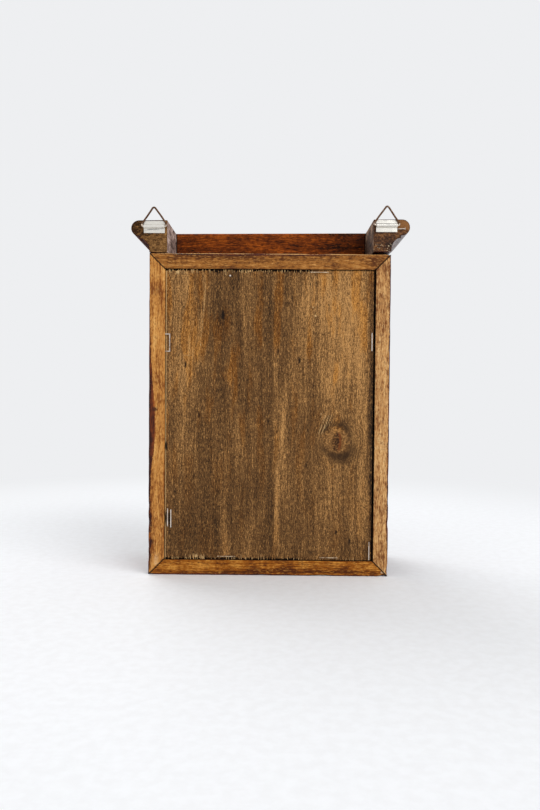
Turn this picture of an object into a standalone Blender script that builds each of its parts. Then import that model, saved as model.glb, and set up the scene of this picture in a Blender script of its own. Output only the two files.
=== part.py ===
"""A small wooden key cabinet that hangs on a wall by two wire rings.

Four mitred boards make the carcass, a thin wooden panel is stapled into a rabbet at
the back, and a mitred crown moulding runs round the front and both ends of the top. A
framed door with a fielded panel hangs at the front on two butt hinges, and hooks for
the keys stand on two rails inside.

X is the width as seen from the front, Y points to the wall and Z is up. The origin is
the centre of the carcass's underside. The front is at -Y, and left and right are as
seen from the front.
"""

import math

import bmesh
import bpy
from mathutils import Matrix, Vector

MM = 0.001

# Clearances between pieces
GLUE_GAP = 0.3 * MM
FIT_GAP = 0.15 * MM
CUT_OVERRUN = 2.0 * MM
MITRE_GAP = GLUE_GAP / math.sqrt(2)
MERGE_DISTANCE = 0.0015 * MM

# Carcass boards
BODY_WIDTH = 170.0 * MM
BODY_HEIGHT = 227.5 * MM
CARCASS_DEPTH = 63.0 * MM
BOARD_THICKNESS = 17.0 * MM
BOARD_ARRIS = 0.6 * MM
LEDGE_WIDTH = 6.0 * MM

# Back panel, which lies loose in its rabbet with unlike gaps round it
PANEL_THICKNESS = 3.0 * MM
PANEL_RECESS = 1.2 * MM
PANEL_GAP_LEFT = 1.7 * MM
PANEL_GAP_RIGHT = 0.5 * MM
PANEL_GAP_ENDS = 0.6 * MM

# Crown moulding, whose section is given as distance out from the carcass and height
CROWN_HEIGHT = 22.7 * MM
CROWN_BASE = 12.8 * MM
CROWN_FOOT = 1.2 * MM
COVE_WIDTH = 6.6 * MM
COVE_HEIGHT = 8.2 * MM
FILLET_HEIGHT = 1.7 * MM
NOSE_RADIUS = 5.6 * MM
NOSE_CENTRE_OUT = 7.2 * MM
NOSE_START_ANGLE = math.radians(-75)
CROWN_ARRIS = 0.5 * MM
RETURN_LIFT = 1.0 * MM

# Wire hangers: a ring in a saddle of sheet metal with four prongs
HANGER_INSET = 3.6 * MM
RIGHT_RING_RISE = 17.8 * MM
LEFT_RING_RISE = 18.6 * MM
RING_WIDTH = 18.8 * MM
RING_HEIGHT = 14.4 * MM
RING_WIRE_RADIUS = 0.65 * MM
RING_BEND_RADIUS = 1.2 * MM
RING_CLEARANCE = 0.2 * MM
SADDLE_WIDTH = 14.7 * MM
SADDLE_SHEET = 0.5 * MM
SADDLE_ABOVE = 3.9 * MM
SADDLE_BELOW = 4.5 * MM
PRONG_WIDTH = 1.3 * MM
PRONG_LENGTH = 4.0 * MM
PRONG_INSET = 0.3 * MM

# Bent nail beside the left hanger
NAIL_RADIUS = 0.4 * MM
NAIL_HEAD_RADIUS = 0.9 * MM
NAIL_HEAD_THICKNESS = 0.4 * MM
NAIL_DEPTH = 7.0 * MM
NAIL_BEND_RADIUS = 0.6 * MM
NAIL_LYING_LENGTH = 3.9 * MM
NAIL_TILT = math.radians(5)
NAIL_BELOW_RING = 2.2 * MM
NAIL_OFF_SADDLE = 0.7 * MM

# Staples and the one round pin that hold the back panel
STAPLE_WIDTH = 12.7 * MM
STAPLE_WIRE = 0.6 * MM
STAPLE_LEG = 6.0 * MM
PIN_HEAD_RADIUS = 0.75 * MM
PIN_HEAD_RISE = 0.5 * MM
PIN_SHANK_RADIUS = 0.45 * MM
PIN_LENGTH = 8.0 * MM

# Places of the staples and pin: the first share is of the ledge's width from its inner
# edge. The second is of the staple's travel, up the panel from its lowest place or
# across it from the middle, and for the pin of the panel opening's half width.
SIDEWAYS_STAPLE_REACH_SHARE = 0.40
SIDEWAYS_STAPLE_HEIGHT_SHARE = 0.765
RIGHT_STAPLE_SHARES = ((0.56, 0.119), (0.17, 0.115))
LEFT_STAPLE_SHARES = ((0.70, 0.773), (0.61, 0.0))
TOP_STAPLE_SHARES = ((0.70, -0.515),)
BOTTOM_STAPLE_SHARES = ((0.62, 0.435), (0.66, -0.636))
PIN_SHARES = (0.24, 0.379)

# Key rails and hooks
RAIL_HEIGHT = 16.0 * MM
RAIL_THICKNESS = 8.0 * MM
RAIL_ARRIS = 1.2 * MM
RAIL_HEIGHT_SHARES = (0.43, 0.77)
HOOKS_PER_RAIL = 4
HOOK_WIRE_RADIUS = 0.9 * MM
HOOK_SHANK_LENGTH = 6.5 * MM
HOOK_COLLAR_RADIUS = 2.5 * MM
HOOK_COLLAR_THICKNESS = 0.9 * MM
HOOK_NECK_LENGTH = 1.6 * MM
HOOK_NECK_BEND = 1.5 * MM
HOOK_BOWL_RADIUS = 5.2 * MM
HOOK_TIP_ANGLE = math.radians(42)
HOOK_TIP_RADIUS = 1.25 * MM

# Door
DOOR_GAP = 0.6 * MM
DOOR_THICKNESS = 10.5 * MM
DOOR_TOP_GAP = 1.0 * MM
DOOR_BOTTOM_GAP = 0.8 * MM
STILE_WIDTH = 28.0 * MM
DOOR_ARRIS = 0.8 * MM
DOOR_OVOLO = 3.6 * MM
GROOVE_LIP = 2.5 * MM
GROOVE_DEPTH = 5.0 * MM
TONGUE_THICKNESS = 2.8 * MM
TONGUE_PLAY = 0.8 * MM
FIELD_MARGIN = 13.0 * MM
FIELD_RISE = 2.6 * MM
FIELD_STEP = 0.7 * MM

# Butt hinges
HINGE_HEIGHT = 25.0 * MM
HINGE_HEIGHT_SHARES = (0.18, 0.82)
LEAF_WIDTH = 10.0 * MM
LEAF_THICKNESS = 1.0 * MM
KNUCKLE_RADIUS = 2.0 * MM
KNUCKLE_GAP = 0.2 * MM
HINGE_PIN_RADIUS = 1.0 * MM
HINGE_PIN_PLAY = 0.1 * MM
HINGE_PIN_HEAD_RADIUS = 1.5 * MM
HINGE_PIN_HEAD_HEIGHT = 0.6 * MM
HINGE_CLEARANCE = 0.25 * MM
MIDDLE_KNUCKLE_SHARE = 0.36
HINGE_SCREW_SHARE = 0.29

# Countersunk screws
SCREW_HEAD_RADIUS = 2.0 * MM
SCREW_SHANK_RADIUS = 0.9 * MM
SCREW_HEAD_HEIGHT = 0.9 * MM
SCREW_LENGTH = 8.0 * MM
SCREW_TIP_LENGTH = 1.6 * MM
SCREW_SLOT_WIDTH = 0.5 * MM
SCREW_SLOT_DEPTH = 0.4 * MM

# Knob and its screw
KNOB_PLACE_SHARE = 0.5
KNOB_ROSE_RADIUS = 5.6 * MM
KNOB_ROSE_HEIGHT = 1.6 * MM
KNOB_NECK_RADIUS = 2.7 * MM
KNOB_NECK_LENGTH = 3.4 * MM
KNOB_BALL_RADIUS = 5.8 * MM
KNOB_BALL_FLATTEN = 0.82
KNOB_BORE_RADIUS = 1.5 * MM
KNOB_BORE_DEPTH = 6.0 * MM
KNOB_SCREW_RADIUS = 1.35 * MM
KNOB_SCREW_HEAD_RADIUS = 2.7 * MM
KNOB_SCREW_HEAD_HEIGHT = 1.4 * MM

# Magnetic catch
CATCH_WIDTH = 8.6 * MM
CATCH_DEPTH = 15.0 * MM
CATCH_HEIGHT = 30.0 * MM
CATCH_ARRIS = 0.8 * MM
CATCH_SETBACK = 0.9 * MM
MAGNET_WIDTH = 5.0 * MM
MAGNET_HEIGHT = 12.0 * MM
MAGNET_DEPTH = 9.0 * MM
CATCH_SCREW_INSET = 5.0 * MM
KNOB_TO_CATCH = 32.0 * MM
STRIKE_END = 4.0 * MM
STRIKE_HEIGHT = 12.0 * MM
STRIKE_THICKNESS = 1.2 * MM

# Facet counts
ARC_STEPS = 5
COVE_STEPS = 8
NOSE_STEPS = 12
TURNED_STEPS = 20
WIRE_STEPS = 2

# Places that several pieces share
BACK_Y = CARCASS_DEPTH / 2
FRONT_Y = -CARCASS_DEPTH / 2
RABBET_DEPTH = PANEL_THICKNESS + PANEL_RECESS
LEDGE_Y = BACK_Y - RABBET_DEPTH
PANEL_BACK_Y = BACK_Y - PANEL_RECESS
PANEL_FRONT_Y = LEDGE_Y + FIT_GAP
INNER_HALF_WIDTH = BODY_WIDTH / 2 - BOARD_THICKNESS
FRAME_HALF_WIDTH = INNER_HALF_WIDTH + LEDGE_WIDTH
INNER_BOTTOM = BOARD_THICKNESS
INNER_TOP = BODY_HEIGHT - BOARD_THICKNESS
FRAME_BOTTOM = INNER_BOTTOM - LEDGE_WIDTH
FRAME_TOP = INNER_TOP + LEDGE_WIDTH
DOOR_BACK_Y = FRONT_Y - DOOR_GAP
DOOR_FRONT_Y = DOOR_BACK_Y - DOOR_THICKNESS
DOOR_BOTTOM = DOOR_BOTTOM_GAP
DOOR_TOP = BODY_HEIGHT - DOOR_TOP_GAP
HINGE_X = -BODY_WIDTH / 2 - KNUCKLE_RADIUS
HINGE_Y = (FRONT_Y + DOOR_BACK_Y) / 2
RAIL_FRONT_Y = LEDGE_Y - GLUE_GAP - RAIL_THICKNESS
RING_AXIS_OFF = FIT_GAP + SADDLE_SHEET + RING_CLEARANCE + RING_WIRE_RADIUS
GROOVE_WIDTH = TONGUE_THICKNESS + 2 * GLUE_GAP
KNOB_Z = BODY_HEIGHT * KNOB_PLACE_SHARE
CATCH_Z = KNOB_Z + KNOB_TO_CATCH
STAPLE_LOW_Z = FRAME_BOTTOM + PANEL_GAP_ENDS + STAPLE_WIDTH / 2
STAPLE_HIGH_Z = FRAME_TOP - PANEL_GAP_ENDS - STAPLE_WIDTH / 2


def clear_scene():
    for obj in list(bpy.data.objects):
        bpy.data.objects.remove(obj)


def new_collection(name, parent):
    made = bpy.data.collections.new(name)
    parent.children.link(made)
    return made


def new_look(name, colour, roughness, metallic=0.0):
    look = bpy.data.materials.new(name)
    look.use_nodes = True
    shader = look.node_tree.nodes["Principled BSDF"]
    shader.inputs["Base Color"].default_value = (*colour, 1.0)
    shader.inputs["Roughness"].default_value = roughness
    shader.inputs["Metallic"].default_value = metallic
    return look


clear_scene()
CABINET = new_collection("key_cabinet", bpy.context.scene.collection)
CUTTERS = new_collection("cutters", bpy.context.scene.collection)

LOOKS = {
    "frame_wood": new_look("frame_wood", (0.42, 0.21, 0.07), 0.6),
    "panel_wood": new_look("panel_wood", (0.21, 0.12, 0.055), 0.7),
    "crown_wood": new_look("crown_wood", (0.13, 0.05, 0.02), 0.45),
    "door_wood": new_look("door_wood", (0.14, 0.05, 0.02), 0.4),
    "rail_wood": new_look("rail_wood", (0.36, 0.2, 0.09), 0.65),
    "brass": new_look("brass", (0.6, 0.42, 0.16), 0.35, 1.0),
    "saddle_tin": new_look("saddle_tin", (0.8, 0.79, 0.76), 0.3, 1.0),
    "ring_wire": new_look("ring_wire", (0.2, 0.12, 0.07), 0.45, 1.0),
    "staple_steel": new_look("staple_steel", (0.62, 0.58, 0.53), 0.35, 1.0),
    "catch_plastic": new_look("catch_plastic", (0.08, 0.045, 0.03), 0.5),
    "magnet": new_look("magnet", (0.06, 0.06, 0.065), 0.5, 0.6),
}


def new_empty(name, place):
    empty = bpy.data.objects.new(name, None)
    empty.location = place
    CABINET.objects.link(empty)
    return empty


def adopt(obj, look, body, place, turn=None):
    """Puts obj in the cabinet at a world place, as a child of its body's empty."""
    if obj.name not in CABINET.objects:
        CABINET.objects.link(obj)
    obj.data.materials.clear()
    obj.data.materials.append(LOOKS[look])
    obj.parent = body
    obj.location = Vector(place) - body.location
    if turn is not None:
        obj.rotation_euler = turn.to_euler()
    return obj


def smooth(obj, angle=math.radians(35)):
    obj.data.shade_smooth()
    obj.data.set_sharp_from_angle(angle=angle)
    return obj


def axes(first, second):
    """The rotation that carries local X to first, local Y to second and local Z to their cross."""
    first = Vector(first)
    second = Vector(second)
    return Matrix((first, second, first.cross(second))).transposed()


def box_mesh(name, size):
    mesh = bpy.data.meshes.new(name)
    shape = bmesh.new()
    bmesh.ops.create_cube(shape, size=1)
    bmesh.ops.scale(shape, vec=Vector(size), verts=shape.verts)
    shape.to_mesh(mesh)
    shape.free()
    return mesh


def block(name, low, high):
    """A loose box between two world corners, with its origin at its centre."""
    low = Vector(low)
    high = Vector(high)
    obj = bpy.data.objects.new(name, box_mesh(name, high - low))
    obj.location = (low + high) / 2
    return obj


def rod(name, start, end, radius, end_radius=None):
    """A loose cylinder or cone from one world point to another."""
    start = Vector(start)
    way = Vector(end) - start
    mesh = bpy.data.meshes.new(name)
    shape = bmesh.new()
    bmesh.ops.create_cone(
        shape,
        cap_ends=True,
        segments=TURNED_STEPS,
        radius1=radius,
        radius2=radius if end_radius is None else end_radius,
        depth=way.length,
    )
    shape.to_mesh(mesh)
    shape.free()
    obj = bpy.data.objects.new(name, mesh)
    obj.location = start + way / 2
    obj.rotation_euler = way.to_track_quat("Z", "Y").to_euler()
    return obj


def as_cutter(obj):
    obj.hide_render = True
    obj.display_type = "WIRE"
    return obj


def combine(obj, others, operation):
    """Adds a Boolean of obj with a collection of its own that holds the other shapes."""
    group = new_collection(f"{obj.name}_{operation.lower()}", CUTTERS)
    for other in others:
        group.objects.link(as_cutter(other))
    modifier = obj.modifiers.new(operation.lower(), "BOOLEAN")
    modifier.operation = operation
    modifier.operand_type = "COLLECTION"
    modifier.collection = group
    modifier.solver = "EXACT"
    return obj


def cut(obj, cutters):
    return combine(obj, cutters, "DIFFERENCE")


def join(obj, others):
    return combine(obj, others, "UNION")


def settled_mesh(obj):
    """The mesh of obj with its modifiers applied and its caps welded; obj is removed."""
    if not obj.users_collection:
        CUTTERS.objects.link(obj)
    graph = bpy.context.evaluated_depsgraph_get()
    graph.update()
    mesh = bpy.data.meshes.new_from_object(obj.evaluated_get(graph))
    mesh.name = obj.name
    shape = bmesh.new()
    shape.from_mesh(mesh)
    bmesh.ops.remove_doubles(shape, verts=shape.verts, dist=MERGE_DISTANCE)
    bmesh.ops.recalc_face_normals(shape, faces=shape.faces)
    shape.to_mesh(mesh)
    shape.free()
    bpy.data.objects.remove(obj)
    return mesh


def prism(name, outlines, length):
    """A loose mesh object: flat outlines in local XY, extruded along local Z about its centre."""
    curve = bpy.data.curves.new(name, "CURVE")
    curve.dimensions = "2D"
    curve.fill_mode = "BOTH"
    curve.extrude = length / 2
    for outline in outlines:
        spline = curve.splines.new("POLY")
        spline.points.add(len(outline) - 1)
        for point, (x, y) in zip(spline.points, outline):
            point.co = (x, y, 0, 1)
        spline.use_cyclic_u = True
    drawn = bpy.data.objects.new(name, curve)
    mesh = settled_mesh(drawn)
    return bpy.data.objects.new(name, mesh)


def slant_ends(obj, low_slope, high_slope):
    """Mitres a prism: each end slides along local Z by its slope times local X."""
    for vertex in obj.data.vertices:
        if vertex.co.z > 0:
            vertex.co.z += high_slope * vertex.co.x
        else:
            vertex.co.z -= low_slope * vertex.co.x
    return obj


def turned(name, profile, steps=TURNED_STEPS):
    """A loose turned shape about local Z from (radius, height) points, top to bottom."""
    mesh = bpy.data.meshes.new(name)
    points = [(radius, 0, height) for radius, height in profile]
    edges = [(i, i + 1) for i in range(len(points) - 1)]
    mesh.from_pydata(points, edges, [])
    obj = bpy.data.objects.new(name, mesh)
    screw = obj.modifiers.new("turn", "SCREW")
    screw.steps = steps
    screw.render_steps = steps
    screw.use_merge_vertices = True
    screw.merge_threshold = MERGE_DISTANCE
    return obj


def wire(name, points, radius, shares=None, closed=False):
    """A loose round wire through the points; shares scale its radius at each point."""
    curve = bpy.data.curves.new(name, "CURVE")
    curve.dimensions = "3D"
    curve.bevel_depth = radius
    curve.bevel_resolution = WIRE_STEPS
    curve.use_fill_caps = not closed
    spline = curve.splines.new("POLY")
    spline.points.add(len(points) - 1)
    shares = shares or [1.0] * len(points)
    for target, point, share in zip(spline.points, points, shares):
        target.co = (*point, 1)
        target.radius = share
    spline.use_cyclic_u = closed
    return bpy.data.objects.new(name, curve)


def arc(centre, radii, start, end, steps):
    """Points of an elliptic arc, both ends included."""
    points = []
    for i in range(steps + 1):
        angle = start + (end - start) * i / steps
        points.append(
            (
                centre[0] + radii[0] * math.cos(angle),
                centre[1] + radii[1] * math.sin(angle),
            )
        )
    return points


def round_corner(corner, radius, start):
    """A quarter arc inside a square corner, turning anticlockwise from the start angle."""
    end = start + math.pi / 2
    toward = (math.cos(start) + math.cos(end), math.sin(start) + math.sin(end))
    centre = (corner[0] - radius * toward[0], corner[1] - radius * toward[1])
    return arc(centre, (radius, radius), start, end, ARC_STEPS)


CARCASS = new_empty("carcass", (0, 0, 0))
DOOR = new_empty("door", (HINGE_X, HINGE_Y, BODY_HEIGHT / 2))


def staple_height(share):
    return STAPLE_LOW_Z + share * (STAPLE_HIGH_Z - STAPLE_LOW_Z)


def staple_places():
    """Crown centres of the staples by board, with each crown's direction."""
    places = {"side_right": [], "side_left": [], "top_board": [], "bottom_board": []}
    for ledge_share, height_share in RIGHT_STAPLE_SHARES:
        x = INNER_HALF_WIDTH + ledge_share * LEDGE_WIDTH
        places["side_right"].append(((x, staple_height(height_share)), (0, 1)))
    for ledge_share, height_share in LEFT_STAPLE_SHARES:
        x = -INNER_HALF_WIDTH - ledge_share * LEDGE_WIDTH
        places["side_left"].append(((x, staple_height(height_share)), (0, 1)))
    travel = FRAME_HALF_WIDTH - STAPLE_WIDTH / 2
    for ledge_share, width_share in TOP_STAPLE_SHARES:
        z = INNER_TOP + ledge_share * LEDGE_WIDTH
        places["top_board"].append(((width_share * travel, z), (1, 0)))
    for ledge_share, width_share in BOTTOM_STAPLE_SHARES:
        z = INNER_BOTTOM - ledge_share * LEDGE_WIDTH
        places["bottom_board"].append(((width_share * travel, z), (1, 0)))
    return places


STAPLES = staple_places()


def staple_leg_cutters(board):
    """Square holes through the panel and into the ledge for each staple leg of a board."""
    cutters = []
    reach = STAPLE_WIDTH / 2 - STAPLE_WIRE / 2
    half = STAPLE_WIRE / 2 + FIT_GAP
    for (x, z), (along_x, along_z) in STAPLES[board]:
        for side in (-1, 1):
            leg_x = x + side * reach * along_x
            leg_z = z + side * reach * along_z
            low = (leg_x - half, PANEL_BACK_Y - STAPLE_LEG - FIT_GAP, leg_z - half)
            high = (leg_x + half, PANEL_BACK_Y + CUT_OVERRUN, leg_z + half)
            cutters.append(block("leg_hole", low, high))
    return cutters


def sideways_staple_place():
    """The crown's centre of the staple that is driven into the frame's inner edge."""
    x = INNER_HALF_WIDTH + SIDEWAYS_STAPLE_REACH_SHARE * LEDGE_WIDTH
    y = PANEL_BACK_Y + FIT_GAP + STAPLE_WIRE / 2
    return Vector((x, y, staple_height(SIDEWAYS_STAPLE_HEIGHT_SHARE)))


def sideways_leg_cutters():
    place = sideways_staple_place()
    reach = STAPLE_WIDTH / 2 - STAPLE_WIRE / 2
    half = STAPLE_WIRE / 2 + FIT_GAP
    cutters = []
    for side in (-1, 1):
        z = place.z + side * reach
        low = (FRAME_HALF_WIDTH - CUT_OVERRUN, place.y - half, z - half)
        high = (place.x + STAPLE_LEG + FIT_GAP, place.y + half, z + half)
        cutters.append(block("leg_hole", low, high))
    return cutters


def pin_place():
    ledge_share, width_share = PIN_SHARES
    return Vector((width_share * FRAME_HALF_WIDTH, PANEL_BACK_Y, INNER_TOP + ledge_share * LEDGE_WIDTH))


def pin_cutter():
    place = pin_place()
    low = place - Vector((0, PIN_LENGTH + FIT_GAP, 0))
    high = place + Vector((0, CUT_OVERRUN, 0))
    return rod("pin_hole", low, high, PIN_SHANK_RADIUS + FIT_GAP)


def hinge_heights():
    return [share * BODY_HEIGHT for share in HINGE_HEIGHT_SHARES]


def hinge_screw_spots(height):
    """World X and Z of the two screws of a hinge leaf."""
    x = -BODY_WIDTH / 2 + LEAF_WIDTH / 2
    reach = HINGE_SCREW_SHARE * HINGE_HEIGHT
    return [(x, height - reach), (x, height + reach)]


def hinge_gain(height, low_y, high_y):
    """The housing for a hinge leaf, open at the outer side of the wood."""
    half = HINGE_HEIGHT / 2 + FIT_GAP
    low = (-BODY_WIDTH / 2 - CUT_OVERRUN, low_y, height - half)
    high = (-BODY_WIDTH / 2 + LEAF_WIDTH + FIT_GAP, high_y, height + half)
    return block("hinge_gain", low, high)


def screw_hole(start, way, radius=SCREW_SHANK_RADIUS, length=SCREW_LENGTH):
    """A pilot hole that starts a little before the surface and follows the screw."""
    start = Vector(start)
    way = Vector(way)
    return rod("screw_hole", start - way * CUT_OVERRUN, start + way * (length + FIT_GAP), radius + FIT_GAP)


def board_outline():
    """A carcass board's section: local X runs in from its outer face, local Y to the back."""
    outline = [(BOARD_THICKNESS, FRONT_Y)]
    outline.append((BOARD_THICKNESS, LEDGE_Y))
    outline.append((BOARD_THICKNESS - LEDGE_WIDTH, LEDGE_Y))
    outline.append((BOARD_THICKNESS - LEDGE_WIDTH, BACK_Y))
    outline += round_corner((0, BACK_Y), BOARD_ARRIS, math.pi / 2)
    outline += round_corner((0, FRONT_Y), BOARD_ARRIS, math.pi)
    return outline


def board(name, length, inward, place):
    obj = prism(name, [board_outline()], length - 2 * MITRE_GAP)
    slant_ends(obj, -1, -1)
    return adopt(smooth(obj), "frame_wood", CARCASS, place, axes(inward, (0, 1, 0)))


def carcass_boards():
    half_width = BODY_WIDTH / 2
    left = board("side_left", BODY_HEIGHT, (1, 0, 0), (-half_width, 0, BODY_HEIGHT / 2))
    cutters = staple_leg_cutters("side_left")
    for height in hinge_heights():
        cutters.append(hinge_gain(height, FRONT_Y - CUT_OVERRUN, FRONT_Y + LEAF_THICKNESS + FIT_GAP))
        for x, z in hinge_screw_spots(height):
            cutters.append(screw_hole((x, FRONT_Y, z), (0, 1, 0)))
    cut(left, cutters)

    right = board("side_right", BODY_HEIGHT, (-1, 0, 0), (half_width, 0, BODY_HEIGHT / 2))
    cutters = staple_leg_cutters("side_right") + sideways_leg_cutters()
    for spot in catch_screw_spots():
        cutters.append(screw_hole(spot, (1, 0, 0), length=SCREW_LENGTH + CATCH_WIDTH))
    cut(right, cutters)

    top = board("top_board", BODY_WIDTH, (0, 0, -1), (0, 0, BODY_HEIGHT))
    cut(top, [*staple_leg_cutters("top_board"), pin_cutter()])
    bottom = board("bottom_board", BODY_WIDTH, (0, 0, 1), (0, 0, 0))
    # The lowest staple of the left side board straddles the mitre.
    cut(bottom, staple_leg_cutters("bottom_board") + staple_leg_cutters("side_left"))


def back_panel():
    low = (-FRAME_HALF_WIDTH + PANEL_GAP_LEFT, PANEL_FRONT_Y, FRAME_BOTTOM + PANEL_GAP_ENDS)
    high = (FRAME_HALF_WIDTH - PANEL_GAP_RIGHT, PANEL_BACK_Y, FRAME_TOP - PANEL_GAP_ENDS)
    obj = block("back_panel", low, high)
    cutters = [cutter for board_name in STAPLES for cutter in staple_leg_cutters(board_name)]
    cut(obj, [*cutters, pin_cutter()])
    return adopt(obj, "panel_wood", CARCASS, obj.location)


def staple(name, place, turn):
    """A flat U: local X along the crown and local Y opposite to the legs."""
    half = STAPLE_WIDTH / 2
    wire_half = STAPLE_WIRE / 2
    outline = [(-half, wire_half), (-half, wire_half - STAPLE_LEG)]
    outline += [(STAPLE_WIRE - half, wire_half - STAPLE_LEG), (STAPLE_WIRE - half, -wire_half)]
    outline += [(half - STAPLE_WIRE, -wire_half), (half - STAPLE_WIRE, wire_half - STAPLE_LEG)]
    outline += [(half, wire_half - STAPLE_LEG), (half, wire_half)]
    obj = prism(name, [outline], STAPLE_WIRE)
    return adopt(obj, "staple_steel", CARCASS, place, turn)


def staples():
    crown_y = PANEL_BACK_Y + FIT_GAP + STAPLE_WIRE / 2
    for board_name, spots in STAPLES.items():
        for number, ((x, z), (along_x, along_z)) in enumerate(spots, 1):
            turn = axes((along_x, 0, along_z), (0, 1, 0))
            staple(f"staple_{board_name}_{number}", (x, crown_y, z), turn)
    turn = axes((0, 0, 1), (-1, 0, 0))
    staple("staple_sideways", sideways_staple_place(), turn)


def panel_pin():
    """A round-headed pin through the panel into the top board."""
    profile = arc((0, FIT_GAP), (PIN_HEAD_RADIUS, PIN_HEAD_RISE), math.pi / 2, 0, ARC_STEPS)
    profile.append((PIN_SHANK_RADIUS, FIT_GAP))
    profile.append((PIN_SHANK_RADIUS, PIN_HEAD_RISE - PIN_LENGTH))
    profile.append((0, -PIN_LENGTH))
    obj = turned("panel_pin", profile)
    return adopt(smooth(obj), "staple_steel", CARCASS, pin_place(), axes((1, 0, 0), (0, 0, -1)))


def crown_outline():
    """The moulding's section: local X out from the carcass's face, local Y up."""
    outline = [(-CROWN_BASE, 0), (0, 0), (0, CROWN_FOOT)]
    outline += arc(
        (COVE_WIDTH, CROWN_FOOT),
        (COVE_WIDTH, COVE_HEIGHT),
        math.pi,
        math.pi / 2,
        COVE_STEPS,
    )[1:]
    outline.append((COVE_WIDTH, CROWN_FOOT + COVE_HEIGHT + FILLET_HEIGHT))
    nose_centre = (NOSE_CENTRE_OUT, CROWN_HEIGHT - NOSE_RADIUS)
    nose = (NOSE_RADIUS, NOSE_RADIUS)
    outline += arc(nose_centre, nose, NOSE_START_ANGLE, math.pi / 2, NOSE_STEPS)
    outline += round_corner((-CROWN_BASE, CROWN_HEIGHT), CROWN_ARRIS, math.pi / 2)
    return outline


def hanger_x(side):
    return side * (BODY_WIDTH / 2 - HANGER_INSET)


def hanger_axis(side, lift):
    """World place of the middle of a ring's base wire."""
    rise = LEFT_RING_RISE if side < 0 else RIGHT_RING_RISE
    z = BODY_HEIGHT + GLUE_GAP + rise + lift
    return Vector((hanger_x(side), BACK_Y + RING_AXIS_OFF, z))


def prong_spots(side, lift):
    """World X and Z of the four prongs of a saddle."""
    axis = hanger_axis(side, lift)
    across = SADDLE_WIDTH / 2 - PRONG_INSET - PRONG_WIDTH / 2
    low = axis.z - SADDLE_BELOW + PRONG_INSET + SADDLE_SHEET / 2
    high = axis.z + SADDLE_ABOVE - PRONG_INSET - SADDLE_SHEET / 2
    return [(axis.x + way * across, z) for way in (-1, 1) for z in (low, high)]


def prong_cutters(side, lift):
    across = PRONG_WIDTH / 2 + FIT_GAP
    up = SADDLE_SHEET / 2 + FIT_GAP
    cutters = []
    for x, z in prong_spots(side, lift):
        low = (x - across, BACK_Y - PRONG_LENGTH - FIT_GAP, z - up)
        high = (x + across, BACK_Y + CUT_OVERRUN, z + up)
        cutters.append(block("prong_hole", low, high))
    return cutters


def nail_points():
    """World points of the bent nail, from its tip in the wood to its head."""
    saddle_edge = hanger_x(-1) - SADDLE_WIDTH / 2
    x = saddle_edge - NAIL_OFF_SADDLE
    z = hanger_axis(-1, RETURN_LIFT).z - NAIL_BELOW_RING
    points = [Vector((x, BACK_Y - NAIL_DEPTH, z)), Vector((x, BACK_Y, z))]
    bend_end = math.pi / 2 - NAIL_TILT
    for across, out in arc((0, 0), (NAIL_BEND_RADIUS, NAIL_BEND_RADIUS), 0, bend_end, ARC_STEPS)[1:]:
        points.append(Vector((x - NAIL_BEND_RADIUS + across, BACK_Y + out, z)))
    lying = Vector((-math.cos(NAIL_TILT), math.sin(NAIL_TILT), 0))
    points.append(points[-1] + lying * NAIL_LYING_LENGTH)
    return points


def crown_return(name, side, lift):
    """One end run of the moulding, mitred at the front and square at the back."""
    obj = prism(name, [crown_outline()], CARCASS_DEPTH - MITRE_GAP)
    # Local Z runs to the front on one side and to the back on the other.
    slopes = (0, 1) if side > 0 else (1, 0)
    slant_ends(obj, *slopes)
    turn = axes((side, 0, 0), (0, 0, 1))
    to_front = Vector((0, -1, 0)) @ turn
    for vertex in obj.data.vertices:
        back_share = 1 / 2 - vertex.co.dot(to_front) / CARCASS_DEPTH
        vertex.co.y += lift * back_share
    place = (side * BODY_WIDTH / 2, MITRE_GAP / 2, BODY_HEIGHT + GLUE_GAP)
    return adopt(smooth(obj), "crown_wood", CARCASS, place, turn)


def crown():
    front = prism("crown_front", [crown_outline()], BODY_WIDTH - 2 * MITRE_GAP)
    slant_ends(front, 1, 1)
    place = (0, FRONT_Y, BODY_HEIGHT + GLUE_GAP)
    adopt(smooth(front), "crown_wood", CARCASS, place, axes((0, -1, 0), (0, 0, 1)))
    right = crown_return("crown_return_right", 1, 0)
    cut(right, prong_cutters(1, 0))
    left = crown_return("crown_return_left", -1, RETURN_LIFT)
    tip, surface = nail_points()[:2]
    inward = Vector((0, CUT_OVERRUN, 0))
    nail_hole = rod("nail_hole", tip - inward / 2, surface + inward, NAIL_RADIUS + FIT_GAP)
    cut(left, [*prong_cutters(-1, RETURN_LIFT), nail_hole])


def saddle_outline():
    """The sheet's section about the ring's axis: local X off the wood, local Y up."""
    inside = RING_WIRE_RADIUS + FIT_GAP
    outside = inside + SADDLE_SHEET
    flange_in = -RING_AXIS_OFF + FIT_GAP
    flange_out = flange_in + SADDLE_SHEET
    outline = [(flange_in, -SADDLE_BELOW), (flange_in, -inside)]
    outline += arc((0, 0), (inside, inside), -math.pi / 2, math.pi / 2, NOSE_STEPS)
    outline += [(flange_in, inside), (flange_in, SADDLE_ABOVE)]
    outline += [(flange_out, SADDLE_ABOVE), (flange_out, outside)]
    outline += arc((0, 0), (outside, outside), math.pi / 2, -math.pi / 2, NOSE_STEPS)
    outline += [(flange_out, -outside), (flange_out, -SADDLE_BELOW)]
    return outline


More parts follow.
